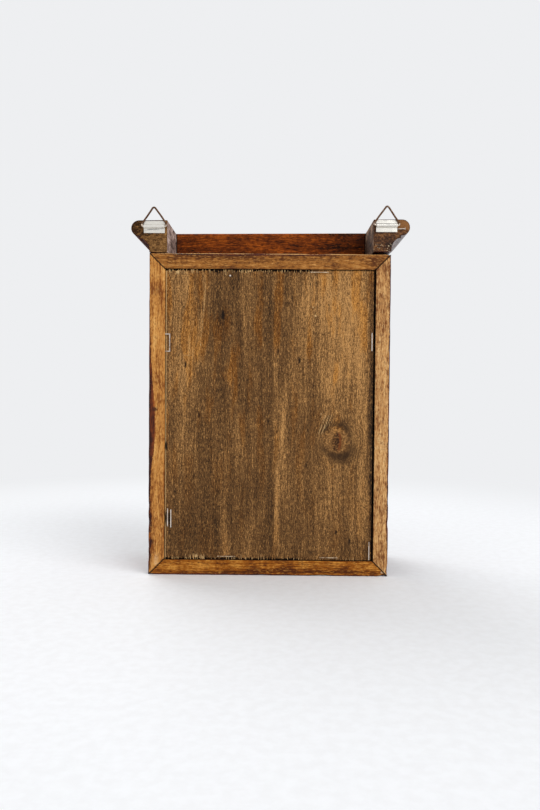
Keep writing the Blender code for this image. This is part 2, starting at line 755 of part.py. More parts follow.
def hanger(side_name, side, lift):
    """A saddle with its prongs, and the ring that turns in it."""
    axis = hanger_axis(side, lift)
    saddle = prism(f"hanger_saddle_{side_name}", [saddle_outline()], SADDLE_WIDTH)
    adopt(smooth(saddle), "saddle_tin", CARCASS, axis, axes((0, 1, 0), (0, 0, 1)))
    prongs = []
    sheet_y = BACK_Y + FIT_GAP + SADDLE_SHEET / 2
    for x, z in prong_spots(side, lift):
        low = (x - PRONG_WIDTH / 2, BACK_Y - PRONG_LENGTH, z - SADDLE_SHEET / 2)
        high = (x + PRONG_WIDTH / 2, sheet_y, z + SADDLE_SHEET / 2)
        prongs.append(block("prong", low, high))
    join(saddle, prongs)

    ring_body = new_empty(f"ring_{side_name}_body", axis)
    half_base = RING_WIDTH / 2 - RING_BEND_RADIUS - RING_WIRE_RADIUS
    apex = RING_HEIGHT - 2 * RING_BEND_RADIUS - 2 * RING_WIRE_RADIUS
    ring = wire(f"hanger_ring_{side_name}", ring_path(half_base, apex), RING_WIRE_RADIUS, closed=True)
    adopt(ring, "ring_wire", ring_body, axis)


def ring_path(half_base, apex):
    """A round-cornered triangle in local XZ whose base lies on local X."""
    slope = math.atan2(apex, half_base)
    centres = [
        (half_base, RING_BEND_RADIUS),
        (0, RING_BEND_RADIUS + apex),
        (-half_base, RING_BEND_RADIUS),
    ]
    turns = [
        (-math.pi / 2, math.pi / 2 - slope),
        (math.pi / 2 - slope, math.pi / 2 + slope),
        (math.pi / 2 + slope, math.pi * 3 / 2),
    ]
    bend = (RING_BEND_RADIUS, RING_BEND_RADIUS)
    points = []
    for centre, (start, end) in zip(centres, turns):
        points += arc(centre, bend, start, end, COVE_STEPS)
    return [(x, 0, z) for x, z in points]


def bent_nail():
    points = nail_points()
    lying = (points[-1] - points[-2]).normalized()
    head_share = NAIL_HEAD_RADIUS / NAIL_RADIUS
    points.append(points[-1] + lying * NAIL_HEAD_THICKNESS / 4)
    points.append(points[-1] + lying * NAIL_HEAD_THICKNESS)
    radius_shares = [1.0] * (len(points) - 2) + [head_share, head_share]
    place = points[1]
    path = [point - place for point in points]
    obj = wire("hanger_nail_left", path, NAIL_RADIUS, radius_shares)
    return adopt(obj, "staple_steel", CARCASS, place)


def rail_heights():
    return [share * BODY_HEIGHT for share in RAIL_HEIGHT_SHARES]


def hook_spots():
    """World X of the hooks along a rail, evenly spread with half a space at each end."""
    step = 2 * INNER_HALF_WIDTH / HOOKS_PER_RAIL
    return [-INNER_HALF_WIDTH + step * (i + 1 / 2) for i in range(HOOKS_PER_RAIL)]


def key_rail(name, height):
    """A batten glued between the side boards, against the back panel's face."""
    half_height = RAIL_HEIGHT / 2
    half_thickness = RAIL_THICKNESS / 2
    outline = [(half_thickness, -half_height), (half_thickness, half_height)]
    outline += round_corner((-half_thickness, half_height), RAIL_ARRIS, math.pi / 2)
    outline += round_corner((-half_thickness, -half_height), RAIL_ARRIS, math.pi)
    obj = prism(name, [outline], 2 * (INNER_HALF_WIDTH - GLUE_GAP))
    place = Vector((0, RAIL_FRONT_Y + RAIL_THICKNESS / 2, height))
    adopt(smooth(obj), "rail_wood", CARCASS, place, axes((0, 1, 0), (0, 0, 1)))
    cutters = []
    for x in hook_spots():
        start = (x, RAIL_FRONT_Y, height)
        cutters.append(screw_hole(start, (0, 1, 0), HOOK_WIRE_RADIUS, HOOK_SHANK_LENGTH))
    return cut(obj, cutters)


def hook_path():
    """Points of a hook in local YZ, from its screw end to its tip, with radius shares."""
    collar = HOOK_COLLAR_RADIUS / HOOK_WIRE_RADIUS
    thin = HOOK_COLLAR_THICKNESS / 8
    start = -FIT_GAP
    stations = [(start + HOOK_SHANK_LENGTH, 1.0), (start, 1.0), (start - thin, collar)]
    stations += [(start - HOOK_COLLAR_THICKNESS + thin, collar), (start - HOOK_COLLAR_THICKNESS, 1.0)]
    path = [(0, y, 0) for y, _ in stations]
    radius_shares = [share for _, share in stations]
    neck_y = start - HOOK_COLLAR_THICKNESS - HOOK_NECK_LENGTH
    bend = (HOOK_NECK_BEND, HOOK_NECK_BEND)
    for y, z in arc((neck_y, -HOOK_NECK_BEND), bend, math.pi / 2, math.pi, ARC_STEPS):
        path.append((0, y, z))
    bowl_y = neck_y - HOOK_NECK_BEND - HOOK_BOWL_RADIUS
    bowl = (HOOK_BOWL_RADIUS, HOOK_BOWL_RADIUS)
    end = -math.pi - HOOK_TIP_ANGLE
    for y, z in arc((bowl_y, -HOOK_NECK_BEND), bowl, 0, end, 2 * COVE_STEPS)[1:]:
        path.append((0, y, z))
    radius_shares += [1.0] * (len(path) - len(radius_shares))
    radius_shares[-1] = HOOK_TIP_RADIUS / HOOK_WIRE_RADIUS
    return path, radius_shares


def key_hook(name, x, height):
    path, radius_shares = hook_path()
    obj = wire(name, path, HOOK_WIRE_RADIUS, radius_shares)
    return adopt(obj, "brass", CARCASS, (x, RAIL_FRONT_Y, height))


def rails_and_hooks():
    for level, height in zip(("lower", "upper"), rail_heights()):
        key_rail(f"key_rail_{level}", height)
        for number, x in enumerate(hook_spots(), 1):
            key_hook(f"key_hook_{level}_{number}", x, height)


def screw_mesh(name, radius, head_radius, head_height, length):
    """A slotted countersunk screw about local Z, its flat head's face at the origin."""
    profile = [(0, 0), (head_radius, 0), (radius, -head_height)]
    profile += [(radius, SCREW_TIP_LENGTH - length), (0, -length)]
    obj = turned(name, profile)
    CUTTERS.objects.link(obj)
    low = (-head_radius - CUT_OVERRUN, -SCREW_SLOT_WIDTH / 2, -SCREW_SLOT_DEPTH)
    high = (head_radius + CUT_OVERRUN, SCREW_SLOT_WIDTH / 2, CUT_OVERRUN)
    slot = block("screw_slot", low, high)
    cut(obj, [slot])
    mesh = settled_mesh(obj)
    bpy.data.objects.remove(slot)
    return mesh


def facing(way):
    """The rotation that carries local Z to a direction."""
    return Vector(way).to_track_quat("Z", "Y")


def screw(name, mesh, look, body, place, outward):
    obj = bpy.data.objects.new(name, mesh)
    return adopt(smooth(obj), look, body, place, facing(outward))


def leaf_outline():
    """A hinge leaf in its own plane: local X from the pin across the wood, local Y up."""
    half = HINGE_HEIGHT / 2
    clear = KNUCKLE_RADIUS + HINGE_CLEARANCE
    middle = MIDDLE_KNUCKLE_SHARE * half
    far = KNUCKLE_RADIUS + LEAF_WIDTH
    return half, clear, middle, far


def hinge_leaf_mesh(name, has_middle):
    """A leaf with its knuckles about local Y, the leaf lying at one side of local Z."""
    half, clear, middle, far = leaf_outline()
    offset = DOOR_GAP / 2 + LEAF_THICKNESS / 2
    gap = KNUCKLE_GAP / 2
    if has_middle:
        tabs = [(-middle + gap, middle - gap)]
        outline = [(clear, -half), (far, -half), (far, half), (clear, half)]
        outline += [(clear, middle - gap), (0, middle - gap), (0, -middle + gap), (clear, -middle + gap)]
    else:
        tabs = [(-half, -middle - gap), (middle + gap, half)]
        outline = [(0, -half), (far, -half), (far, half), (0, half)]
        outline += [(0, middle + gap), (clear, middle + gap), (clear, -middle - gap), (0, -middle - gap)]
    leaf = prism(name, [outline], LEAF_THICKNESS)
    leaf.data.transform(Matrix.Translation((0, 0, offset)))
    CUTTERS.objects.link(leaf)
    knuckles = [rod("knuckle", (0, low, 0), (0, high, 0), KNUCKLE_RADIUS) for low, high in tabs]
    join(leaf, knuckles)
    end = half + CUT_OVERRUN
    bore = [rod("knuckle_bore", (0, -end, 0), (0, end, 0), HINGE_PIN_RADIUS + HINGE_PIN_PLAY)]
    x = KNUCKLE_RADIUS + LEAF_WIDTH / 2
    surface = offset - LEAF_THICKNESS / 2
    for way in (-1, 1):
        y = way * HINGE_SCREW_SHARE * HINGE_HEIGHT
        sink = SCREW_HEAD_HEIGHT + FIT_GAP
        through = LEAF_THICKNESS + CUT_OVERRUN
        head_radius = SCREW_HEAD_RADIUS + FIT_GAP
        shank_radius = SCREW_SHANK_RADIUS + FIT_GAP
        bore.append(rod("countersink", (x, y, surface), (x, y, surface + sink), head_radius, shank_radius))
        bore.append(rod("mouth", (x, y, surface - CUT_OVERRUN), (x, y, surface), head_radius))
        bore.append(rod("shank", (x, y, surface), (x, y, surface + through), shank_radius))
    cut(leaf, bore)
    mesh = settled_mesh(leaf)
    for helper in (*knuckles, *bore):
        bpy.data.objects.remove(helper)
    return mesh


def hinge_pin(name, height):
    """A pin with a small head at each end, standing in the knuckles."""
    reach = HINGE_HEIGHT / 2 + FIT_GAP
    rim = HINGE_PIN_HEAD_RADIUS
    top = arc((0, reach), (rim, HINGE_PIN_HEAD_HEIGHT), math.pi / 2, 0, ARC_STEPS)
    profile = [*top, (HINGE_PIN_RADIUS, reach)]
    profile += [(radius, -z) for radius, z in reversed(profile)]
    obj = turned(name, profile)
    return adopt(smooth(obj), "brass", CARCASS, (HINGE_X, HINGE_Y, height))


def hinges():
    carcass_leaf = hinge_leaf_mesh("carcass_leaf", has_middle=False)
    door_leaf = hinge_leaf_mesh("door_leaf", has_middle=True)
    screws = screw_mesh(
        "hinge_screw",
        SCREW_SHANK_RADIUS,
        SCREW_HEAD_RADIUS,
        SCREW_HEAD_HEIGHT,
        SCREW_LENGTH,
    )
    for level, height in zip(("lower", "upper"), hinge_heights()):
        place = (HINGE_X, HINGE_Y, height)
        on_carcass = bpy.data.objects.new(f"hinge_leaf_carcass_{level}", carcass_leaf)
        adopt(smooth(on_carcass), "brass", CARCASS, place, axes((1, 0, 0), (0, 0, -1)))
        on_door = bpy.data.objects.new(f"hinge_leaf_door_{level}", door_leaf)
        adopt(smooth(on_door), "brass", DOOR, place, axes((1, 0, 0), (0, 0, 1)))
        hinge_pin(f"hinge_pin_{level}", height)
        for number, (x, z) in enumerate(hinge_screw_spots(height), 1):
            spot = (x, FRONT_Y, z)
            screw(f"hinge_screw_carcass_{level}_{number}", screws, "brass", CARCASS, spot, (0, -1, 0))
            spot = (x, DOOR_BACK_Y, z)
            screw(f"hinge_screw_door_{level}_{number}", screws, "brass", DOOR, spot, (0, 1, 0))


def door_outline():
    """A door member's section: local X in from its outer edge, local Y to the back."""
    inner = STILE_WIDTH
    front = -DOOR_THICKNESS
    groove_back = -GROOVE_LIP
    groove_front = groove_back - GROOVE_WIDTH
    groove_floor = inner - GROOVE_DEPTH
    outline = [(0, 0), (inner, 0), (inner, groove_back), (groove_floor, groove_back)]
    outline += [(groove_floor, groove_front), (inner, groove_front)]
    ovolo = (inner - DOOR_OVOLO, front + DOOR_OVOLO - FIELD_STEP)
    outline += reversed(
        arc(
            ovolo,
            (DOOR_OVOLO, DOOR_OVOLO - FIELD_STEP),
            -math.pi / 2,
            0,
            COVE_STEPS,
        )
    )
    outline.append((inner - DOOR_OVOLO, front))
    outline += reversed(round_corner((0, front), DOOR_ARRIS, math.pi))
    return outline


def door_member(name, length, inward, place):
    obj = prism(name, [door_outline()], length - 2 * MITRE_GAP)
    slant_ends(obj, -1, -1)
    return adopt(smooth(obj), "door_wood", DOOR, place, axes(inward, (0, 1, 0)))


def door_frame():
    half_width = BODY_WIDTH / 2
    height = DOOR_TOP - DOOR_BOTTOM
    middle = (DOOR_TOP + DOOR_BOTTOM) / 2
    left = door_member("door_stile_left", height, (1, 0, 0), (-half_width, DOOR_BACK_Y, middle))
    cutters = []
    for hinge_height in hinge_heights():
        low_y = DOOR_BACK_Y - LEAF_THICKNESS - FIT_GAP
        cutters.append(hinge_gain(hinge_height, low_y, DOOR_BACK_Y + CUT_OVERRUN))
        for x, z in hinge_screw_spots(hinge_height):
            cutters.append(screw_hole((x, DOOR_BACK_Y, z), (0, -1, 0)))
    cut(left, cutters)

    right = door_member("door_stile_right", height, (-1, 0, 0), (half_width, DOOR_BACK_Y, middle))
    x, z = knob_spot()
    surface = Vector((x, DOOR_BACK_Y, z))
    inward = Vector((0, -1, 0))
    head_radius = KNOB_SCREW_HEAD_RADIUS + FIT_GAP
    shank_radius = KNOB_SCREW_RADIUS + FIT_GAP
    head_end = surface + inward * (KNOB_SCREW_HEAD_HEIGHT + FIT_GAP)
    cutters = [rod("mouth", surface - inward * CUT_OVERRUN, surface, head_radius)]
    cutters.append(rod("countersink", surface, head_end, head_radius, shank_radius))
    cutters.append(rod("shank", surface, surface + inward * (DOOR_THICKNESS + CUT_OVERRUN), shank_radius))
    cutters.append(strike_housing())
    cutters.append(screw_hole(strike_screw_place(), (0, -1, 0)))
    cut(right, cutters)

    door_member("door_rail_top", BODY_WIDTH, (0, 0, -1), (0, DOOR_BACK_Y, DOOR_TOP))
    door_member("door_rail_bottom", BODY_WIDTH, (0, 0, 1), (0, DOOR_BACK_Y, DOOR_BOTTOM))


def door_panel():
    """A fielded panel: a flat tongue all round, a sloping margin and a raised field."""
    inner_half = BODY_WIDTH / 2 - STILE_WIDTH
    low_z = DOOR_BOTTOM + STILE_WIDTH
    high_z = DOOR_TOP - STILE_WIDTH
    tongue = GROOVE_DEPTH - TONGUE_PLAY
    back = DOOR_BACK_Y - GROOVE_LIP - GLUE_GAP
    low = Vector((-inner_half - tongue, back - TONGUE_THICKNESS, low_z - tongue))
    high = Vector((inner_half + tongue, back, high_z + tongue))
    obj = block("door_panel", low, high)
    shape = bmesh.new()
    shape.from_mesh(obj.data)
    front = [face for face in shape.faces if face.normal.y < -1 / 2]
    bmesh.ops.inset_region(shape, faces=front, thickness=tongue + GLUE_GAP, depth=0)
    slope_rise = FIELD_RISE - FIELD_STEP
    bmesh.ops.inset_region(shape, faces=front, thickness=FIELD_MARGIN, depth=slope_rise)
    bmesh.ops.inset_region(shape, faces=front, thickness=FIT_GAP, depth=FIELD_STEP)
    shape.to_mesh(obj.data)
    shape.free()
    return adopt(obj, "door_wood", DOOR, obj.location)


def knob_spot():
    """World X and Z of the knob, on the middle of the opening stile."""
    return BODY_WIDTH / 2 - STILE_WIDTH / 2, KNOB_Z


def knob():
    """A turned knob on a round rose, bored for its screw from behind."""
    rise = KNOB_BALL_RADIUS * KNOB_BALL_FLATTEN
    ball_z = KNOB_ROSE_HEIGHT + KNOB_NECK_LENGTH + rise
    cut_angle = -math.acos(KNOB_NECK_RADIUS / KNOB_BALL_RADIUS)
    profile = arc((0, ball_z), (KNOB_BALL_RADIUS, rise), math.pi / 2, cut_angle, NOSE_STEPS)
    rose_lip = KNOB_ROSE_RADIUS - KNOB_NECK_RADIUS
    profile += arc(
        (KNOB_ROSE_RADIUS, KNOB_ROSE_HEIGHT + KNOB_ROSE_HEIGHT / 2),
        (rose_lip, KNOB_ROSE_HEIGHT / 2),
        math.pi,
        math.pi * 3 / 2,
        ARC_STEPS,
    )
    profile.append((KNOB_ROSE_RADIUS, 0))
    profile.append((KNOB_BORE_RADIUS, 0))
    profile.append((KNOB_BORE_RADIUS, KNOB_BORE_DEPTH))
    profile.append((0, KNOB_BORE_DEPTH))
    obj = turned("knob", profile, 2 * NOSE_STEPS)
    x, z = knob_spot()
    place = (x, DOOR_FRONT_Y - FIT_GAP, z)
    adopt(smooth(obj), "brass", DOOR, place, facing((0, -1, 0)))
    length = DOOR_THICKNESS + FIT_GAP + KNOB_BORE_DEPTH - SCREW_TIP_LENGTH
    mesh = screw_mesh(
        "knob_screw",
        KNOB_SCREW_RADIUS,
        KNOB_SCREW_HEAD_RADIUS,
        KNOB_SCREW_HEAD_HEIGHT,
        length,
    )
    screw("knob_screw", mesh, "brass", DOOR, (x, DOOR_BACK_Y, z), (0, 1, 0))


def catch_box():
    """World corners of the magnetic catch's case, on the right side board."""
    x = INNER_HALF_WIDTH - FIT_GAP
    y = FRONT_Y + CATCH_SETBACK
    low = Vector((x - CATCH_WIDTH, y, CATCH_Z - CATCH_HEIGHT / 2))
    high = Vector((x, y + CATCH_DEPTH, CATCH_Z + CATCH_HEIGHT / 2))
    return low, high


def catch_screw_spots():
    """World places of the two catch screws on the case's inner face."""
    low, high = catch_box()
    y = (low.y + high.y) / 2
    return [
        Vector((low.x, y, low.z + CATCH_SCREW_INSET)),
        Vector((low.x, y, high.z - CATCH_SCREW_INSET)),
    ]


def magnet_front():
    """The middle of the magnet's front, which stands just off the shut door's strike plate."""
    low, high = catch_box()
    return Vector(((low.x + high.x) / 2, DOOR_BACK_Y + GLUE_GAP, CATCH_Z))


def magnet_box():
    half = Vector((MAGNET_WIDTH / 2, 0, MAGNET_HEIGHT / 2))
    depth = Vector((0, MAGNET_DEPTH, 0))
    return magnet_front() - half, magnet_front() + half + depth


def catch():
    low, high = catch_box()
    case = block("catch_case", low, high)
    bevel = case.modifiers.new("arris", "BEVEL")
    bevel.width = CATCH_ARRIS
    bevel.segments = 2
    adopt(case, "catch_plastic", CARCASS, case.location)
    magnet_low, magnet_high = magnet_box()
    play = Vector((FIT_GAP, FIT_GAP, FIT_GAP))
    mouth = Vector((0, CUT_OVERRUN, 0))
    cutters = [block("magnet_pocket", magnet_low - play - mouth, magnet_high + play)]
    way = Vector((1, 0, 0))
    for spot in catch_screw_spots():
        sink_end = spot + way * (SCREW_HEAD_HEIGHT + FIT_GAP)
        head_radius = SCREW_HEAD_RADIUS + FIT_GAP
        shank_radius = SCREW_SHANK_RADIUS + FIT_GAP
        cutters.append(rod("mouth", spot - way * CUT_OVERRUN, spot, head_radius))
        cutters.append(rod("countersink", spot, sink_end, head_radius, shank_radius))
        cutters.append(rod("shank", spot, spot + way * (CATCH_WIDTH + CUT_OVERRUN), shank_radius))
    cut(case, cutters)
    magnet = block("catch_magnet", magnet_low, magnet_high)
    adopt(magnet, "magnet", CARCASS, magnet.location)
    mesh = screw_mesh(
        "catch_screw",
        SCREW_SHANK_RADIUS,
        SCREW_HEAD_RADIUS,
        SCREW_HEAD_HEIGHT,
        SCREW_LENGTH + CATCH_WIDTH,
    )
    for number, spot in enumerate(catch_screw_spots(), 1):
        screw(f"catch_screw_{number}", mesh, "brass", CARCASS, spot, (-1, 0, 0))


def strike_screw_place():
    """The middle of the stile's solid part, outside the groove for the panel."""
    return Vector((BODY_WIDTH / 2 - (STILE_WIDTH - GROOVE_DEPTH) / 2, DOOR_BACK_Y, CATCH_Z))


def strike_box():
    """World corners of the strike plate, let in flush from the magnet to past its screw."""
    half_height = STRIKE_HEIGHT / 2
    low = Vector((magnet_front().x - STRIKE_END, DOOR_BACK_Y - STRIKE_THICKNESS, CATCH_Z - half_height))
    high = Vector((strike_screw_place().x + STRIKE_END, DOOR_BACK_Y, CATCH_Z + half_height))
    return low, high


def strike_housing():
    low, high = strike_box()
    play = Vector((FIT_GAP, FIT_GAP, FIT_GAP))
    return block("strike_housing", low - play, high + play + Vector((0, CUT_OVERRUN, 0)))


def strike():
    low, high = strike_box()
    plate = block("strike_plate", low, high)
    adopt(plate, "saddle_tin", DOOR, plate.location)
    place = strike_screw_place()
    inward = Vector((0, -1, 0))
    head_radius = SCREW_HEAD_RADIUS + FIT_GAP
    shank_radius = SCREW_SHANK_RADIUS + FIT_GAP
    sink_end = place + inward * (SCREW_HEAD_HEIGHT + FIT_GAP)
    cutters = [rod("mouth", place - inward * CUT_OVERRUN, place, head_radius)]
    cutters.append(rod("countersink", place, sink_end, head_radius, shank_radius))
    cutters.append(rod("shank", place, place + inward * (STRIKE_THICKNESS + CUT_OVERRUN), shank_radius))
    cut(plate, cutters)
    mesh = screw_mesh(
        "strike_screw",
        SCREW_SHANK_RADIUS,
        SCREW_HEAD_RADIUS,
        SCREW_HEAD_HEIGHT,
        SCREW_LENGTH,
    )
    screw("strike_screw", mesh, "brass", DOOR, place, (0, 1, 0))


def build():
    carcass_boards()
    back_panel()
    staples()
    panel_pin()
    crown()
    hanger("right", 1, 0)
    hanger("left", -1, RETURN_LIFT)
    bent_nail()
    rails_and_hooks()
    hinges()
    door_frame()
    door_panel()
    knob()
    catch()
    strike()


build()
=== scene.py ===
"""The looks of the key cabinet: worn wood, tarnished fittings, soft light and the camera.

The wooden pieces that show wear are modelled again here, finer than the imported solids, from
the same sections and inside the same space. Small fittings keep their solids and get their
finish. Lengths are in millimetres in the frame's axes, and turn into metres in each mesh.
"""

import math
import random

import bmesh
import bpy
import numpy as np
from mathutils import Matrix, Vector, geometry, noise

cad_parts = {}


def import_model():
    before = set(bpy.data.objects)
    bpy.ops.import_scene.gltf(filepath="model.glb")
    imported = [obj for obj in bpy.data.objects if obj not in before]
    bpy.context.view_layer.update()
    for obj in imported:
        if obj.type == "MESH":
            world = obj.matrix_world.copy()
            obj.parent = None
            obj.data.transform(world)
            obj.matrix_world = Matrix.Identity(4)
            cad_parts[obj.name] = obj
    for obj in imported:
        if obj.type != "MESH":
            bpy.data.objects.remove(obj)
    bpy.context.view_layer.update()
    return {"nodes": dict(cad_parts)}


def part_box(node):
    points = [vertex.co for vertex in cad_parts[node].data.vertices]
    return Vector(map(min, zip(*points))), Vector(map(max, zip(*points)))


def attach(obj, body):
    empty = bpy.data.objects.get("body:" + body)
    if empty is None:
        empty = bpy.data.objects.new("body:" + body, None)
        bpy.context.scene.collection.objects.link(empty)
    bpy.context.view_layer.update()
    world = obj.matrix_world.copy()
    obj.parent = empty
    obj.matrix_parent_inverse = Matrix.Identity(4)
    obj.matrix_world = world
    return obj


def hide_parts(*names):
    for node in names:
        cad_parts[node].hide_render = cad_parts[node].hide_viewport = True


MM = 0.001
QUARTER = math.pi / 2
RIGHT, LEFT = (1, 0, 0), (-1, 0, 0)
BACK, FRONT = (0, 1, 0), (0, -1, 0)
UP, DOWN = (0, 0, 1), (0, 0, -1)

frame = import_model()

# The camera, fitted to the corners that show in the photograph
IMAGE_WIDTH = 540
IMAGE_HEIGHT = 810
LENS = 35.0
SENSOR = 36.0
CAMERA_PLACE = Vector((-4.3, 586.8, 136.3))
CAMERA_YAW = math.radians(0.37)
CAMERA_PITCH = math.radians(-1.566)
CAMERA_ROLL = math.radians(0.474)

# Sections of the boards, the door's members and the crown, as in the solids
BOARD_THICKNESS = 17.0
RABBET_DEPTH = 4.2
MITRE_GAP = 0.03
FIT_GAP = 0.15
LEAF_REACH = 10.15
LEAF_SINK = 1.15
STILE_WIDTH = 28.0
DOOR_THICKNESS = 10.5
GROOVE_LIP = 2.5
GROOVE_WIDTH = 3.4
GROOVE_DEPTH = 5.0
OVOLO_WIDTH = 3.6
OVOLO_DEPTH = 2.9
TONGUE = 4.5
FIELD_MARGIN = 13.0
FIELD_SLOPE_RISE = 1.9
FIELD_STEP = 0.7
CROWN_HEIGHT = 22.35
CROWN_BASE = 12.8
CROWN_FOOT = 1.2
COVE_WIDTH = 6.6
COVE_HEIGHT = 8.2
FILLET_HEIGHT = 1.7
NOSE_RADIUS = 5.6
NOSE_OUT = 7.2
NOSE_START = math.radians(-75)
CROWN_TILT = 1.7
RETURN_LOOSE = 1.6


def box_mm(node):
    low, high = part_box(node)
    return low / MM, high / MM


HALF_WIDTH = box_mm("side_right")[1].x
BODY_HEIGHT = box_mm("top_board")[1].z
FRONT_Y = box_mm("top_board")[0].y
BACK_Y = box_mm("top_board")[1].y
LEDGE_Y = BACK_Y - RABBET_DEPTH

# How wide each board's rear rim shows in the photograph, and the panel's gaps inside the rims
RIM_WIDTHS = {"side_right": 11.4, "side_left": 10.4, "top_board": 10.9, "bottom_board": 10.7}
PANEL_GAPS = {"side_right": 0.4, "side_left": 1.35, "top_board": 0.5, "bottom_board": 0.5}
RIM_AND_GAP = {board: RIM_WIDTHS[board] + PANEL_GAPS[board] for board in RIM_WIDTHS}
PANEL_LOW, PANEL_HIGH = box_mm("back_panel")
PANEL_LOW_X = RIM_AND_GAP["side_left"] - HALF_WIDTH
PANEL_HIGH_X = HALF_WIDTH - RIM_AND_GAP["side_right"]
PANEL_LOW_Z = RIM_AND_GAP["bottom_board"]
PANEL_HIGH_Z = BODY_HEIGHT - RIM_AND_GAP["top_board"]
DOOR_LOW_Z = box_mm("door_rail_bottom")[0].z
DOOR_HIGH_Z = box_mm("door_rail_top")[1].z
DOOR_BACK_Y = box_mm("door_stile_right")[1].y
CROWN_LOW_Z = box_mm("crown_front")[0].z


# Camera and photograph

def camera_turn():
    """Looks along -Y, then turns by the small angles that the photograph was taken at."""
    turn = Matrix.Rotation(math.pi, 3, "Z") @ Matrix.Rotation(QUARTER, 3, "X")
    turn = turn @ Matrix.Rotation(CAMERA_YAW, 3, "Y")
    return turn @ Matrix.Rotation(CAMERA_PITCH, 3, "X") @ Matrix.Rotation(CAMERA_ROLL, 3, "Z")


CAMERA_TURN = camera_turn()
PIXELS_PER_TANGENT = IMAGE_HEIGHT * LENS / SENSOR
# In a stroke, the spots' spacing in half widths, and each one's share where they overlap
SPOT_SPACING = 1.2
SPOT_SHARE = 0.68


def to_pixels(places):
    """Where points show in the photograph: two arrays, from places of any shape by three."""
    seen = (np.asarray(places) - np.array(CAMERA_PLACE)) @ np.array(CAMERA_TURN)
    across = IMAGE_WIDTH / 2 + PIXELS_PER_TANGENT * seen[..., 0] / -seen[..., 2]
    down = IMAGE_HEIGHT / 2 + PIXELS_PER_TANGENT * seen[..., 1] / seen[..., 2]
    return across, down


def on_plane(px, py, y):
    """World X and Z of a photograph's pixel on the plane at depth y."""
    ray = Vector((px - IMAGE_WIDTH / 2, IMAGE_HEIGHT / 2 - py, -PIXELS_PER_TANGENT))
    ray = CAMERA_TURN @ ray
    place = CAMERA_PLACE + ray * ((y - CAMERA_PLACE.y) / ray.y)
    return place.x, place.z


def marks(places, spots):
    """A sum of soft spots at each place, given as (px, py, half width, half height, strength)."""
    px, py = to_pixels(places)
    total = np.zeros(px.shape)
    for x, y, wide, high, strength in spots:
        total += strength * near(px, x, wide) * near(py, y, high)
    return total


def stroke(start, end, wide, strength):
    """A line of round soft spots from one pixel to another."""
    count = max(2, round(math.dist(start, end) / (SPOT_SPACING * wide)))
    places = np.linspace(start, end, count).tolist()
    return [(x, y, wide, wide, strength * SPOT_SHARE) for x, y in places]


def add_object(name, data):
    obj = bpy.data.objects.new(name, data)
    bpy.context.scene.collection.objects.link(obj)
    return obj


def make_camera():
    camera = bpy.data.cameras.new("camera")
    camera.lens = LENS
    camera.sensor_fit = "VERTICAL"
    camera.sensor_height = SENSOR
    camera.sensor_width = SENSOR
    bpy.context.scene.camera = add_object("camera", camera)
    bpy.context.scene.camera.matrix_world = Matrix.Translation(CAMERA_PLACE * MM) @ CAMERA_TURN.to_4x4()


# Numbers along surfaces

def ripple(places, sizes, seed=0.0):
    """Smooth noise from about -1 to 1, whose swells are sizes millimetres along X, Y and Z."""
    flat = np.asarray(places).reshape(-1, 3) / np.array(sizes) + seed
    values = [noise.noise(point) for point in flat.tolist()]
    return np.array(values).reshape(np.asarray(places).shape[:-1])


def patches(places, sizes, seed):
    """Soft patches, mostly from 0 to 1."""
    return 0.5 + 0.9 * ripple(places, sizes, seed)


def rise(values, low, high):
    """A smooth step from 0 at low to 1 at high."""
    share = np.clip((values - low) / (high - low), 0, 1)
    return share * share * (3 - 2 * share)


def near(values, middle, reach):
    """1 at middle, and fading to 0 over about twice the reach."""
    return np.exp(-(((values - middle) / reach) ** 2))


# Materials

def tone(red, green, blue):
    """A colour as it shows on a screen, from 0 to 255, as the linear colour of a shader."""
    channels = [c / 255 for c in (red, green, blue)]
    linear = [c / 12.92 if c <= 0.04045 else ((c + 0.055) / 1.055) ** 2.4 for c in channels]
    return (*linear, 1.0)


class Signal:
    """An output of a node, with the arithmetic that adds Math nodes."""

    def __init__(self, nodes, socket):
        self.nodes = nodes
        self.socket = socket

    def math(self, operation, *others):
        node = self.nodes.node("ShaderNodeMath", self, *others)
        node.operation = operation
        return Signal(self.nodes, node.outputs[0])

    def __add__(self, other):
        return self.math("ADD", other)

    def __sub__(self, other):
        return self.math("SUBTRACT", other)

    def __mul__(self, other):
        return self.math("MULTIPLY", other)

    def __truediv__(self, other):
        return self.math("DIVIDE", other)

    def least(self, other):
        return self.math("MINIMUM", other)

    def most(self, other):
        return self.math("MAXIMUM", other)

    def rise(self, low, high):
        """A smooth step from 0 at low to 1 at high, or the other way round."""
        node = self.nodes.node("ShaderNodeMapRange", self, low, high, 0.0, 1.0)
        node.interpolation_type = "SMOOTHSTEP"
        return Signal(self.nodes, node.outputs[0])


class Nodes:
    """A node tree being made."""

    def __init__(self, tree):
        self.tree = tree

    def node(self, kind, *values, **named):
        """A new node, whose inputs are fed in order and by name."""
        node = self.tree.nodes.new(kind)
        for entry, value in zip(node.inputs, values):
            self.feed(entry, value)
        for name, value in named.items():
            self.feed(node.inputs[name], value)
        return node

    def feed(self, entry, value):
        value = getattr(value, "socket", value)
        if isinstance(value, bpy.types.NodeSocket):
            self.tree.links.new(value, entry)
        else:
            entry.default_value = value


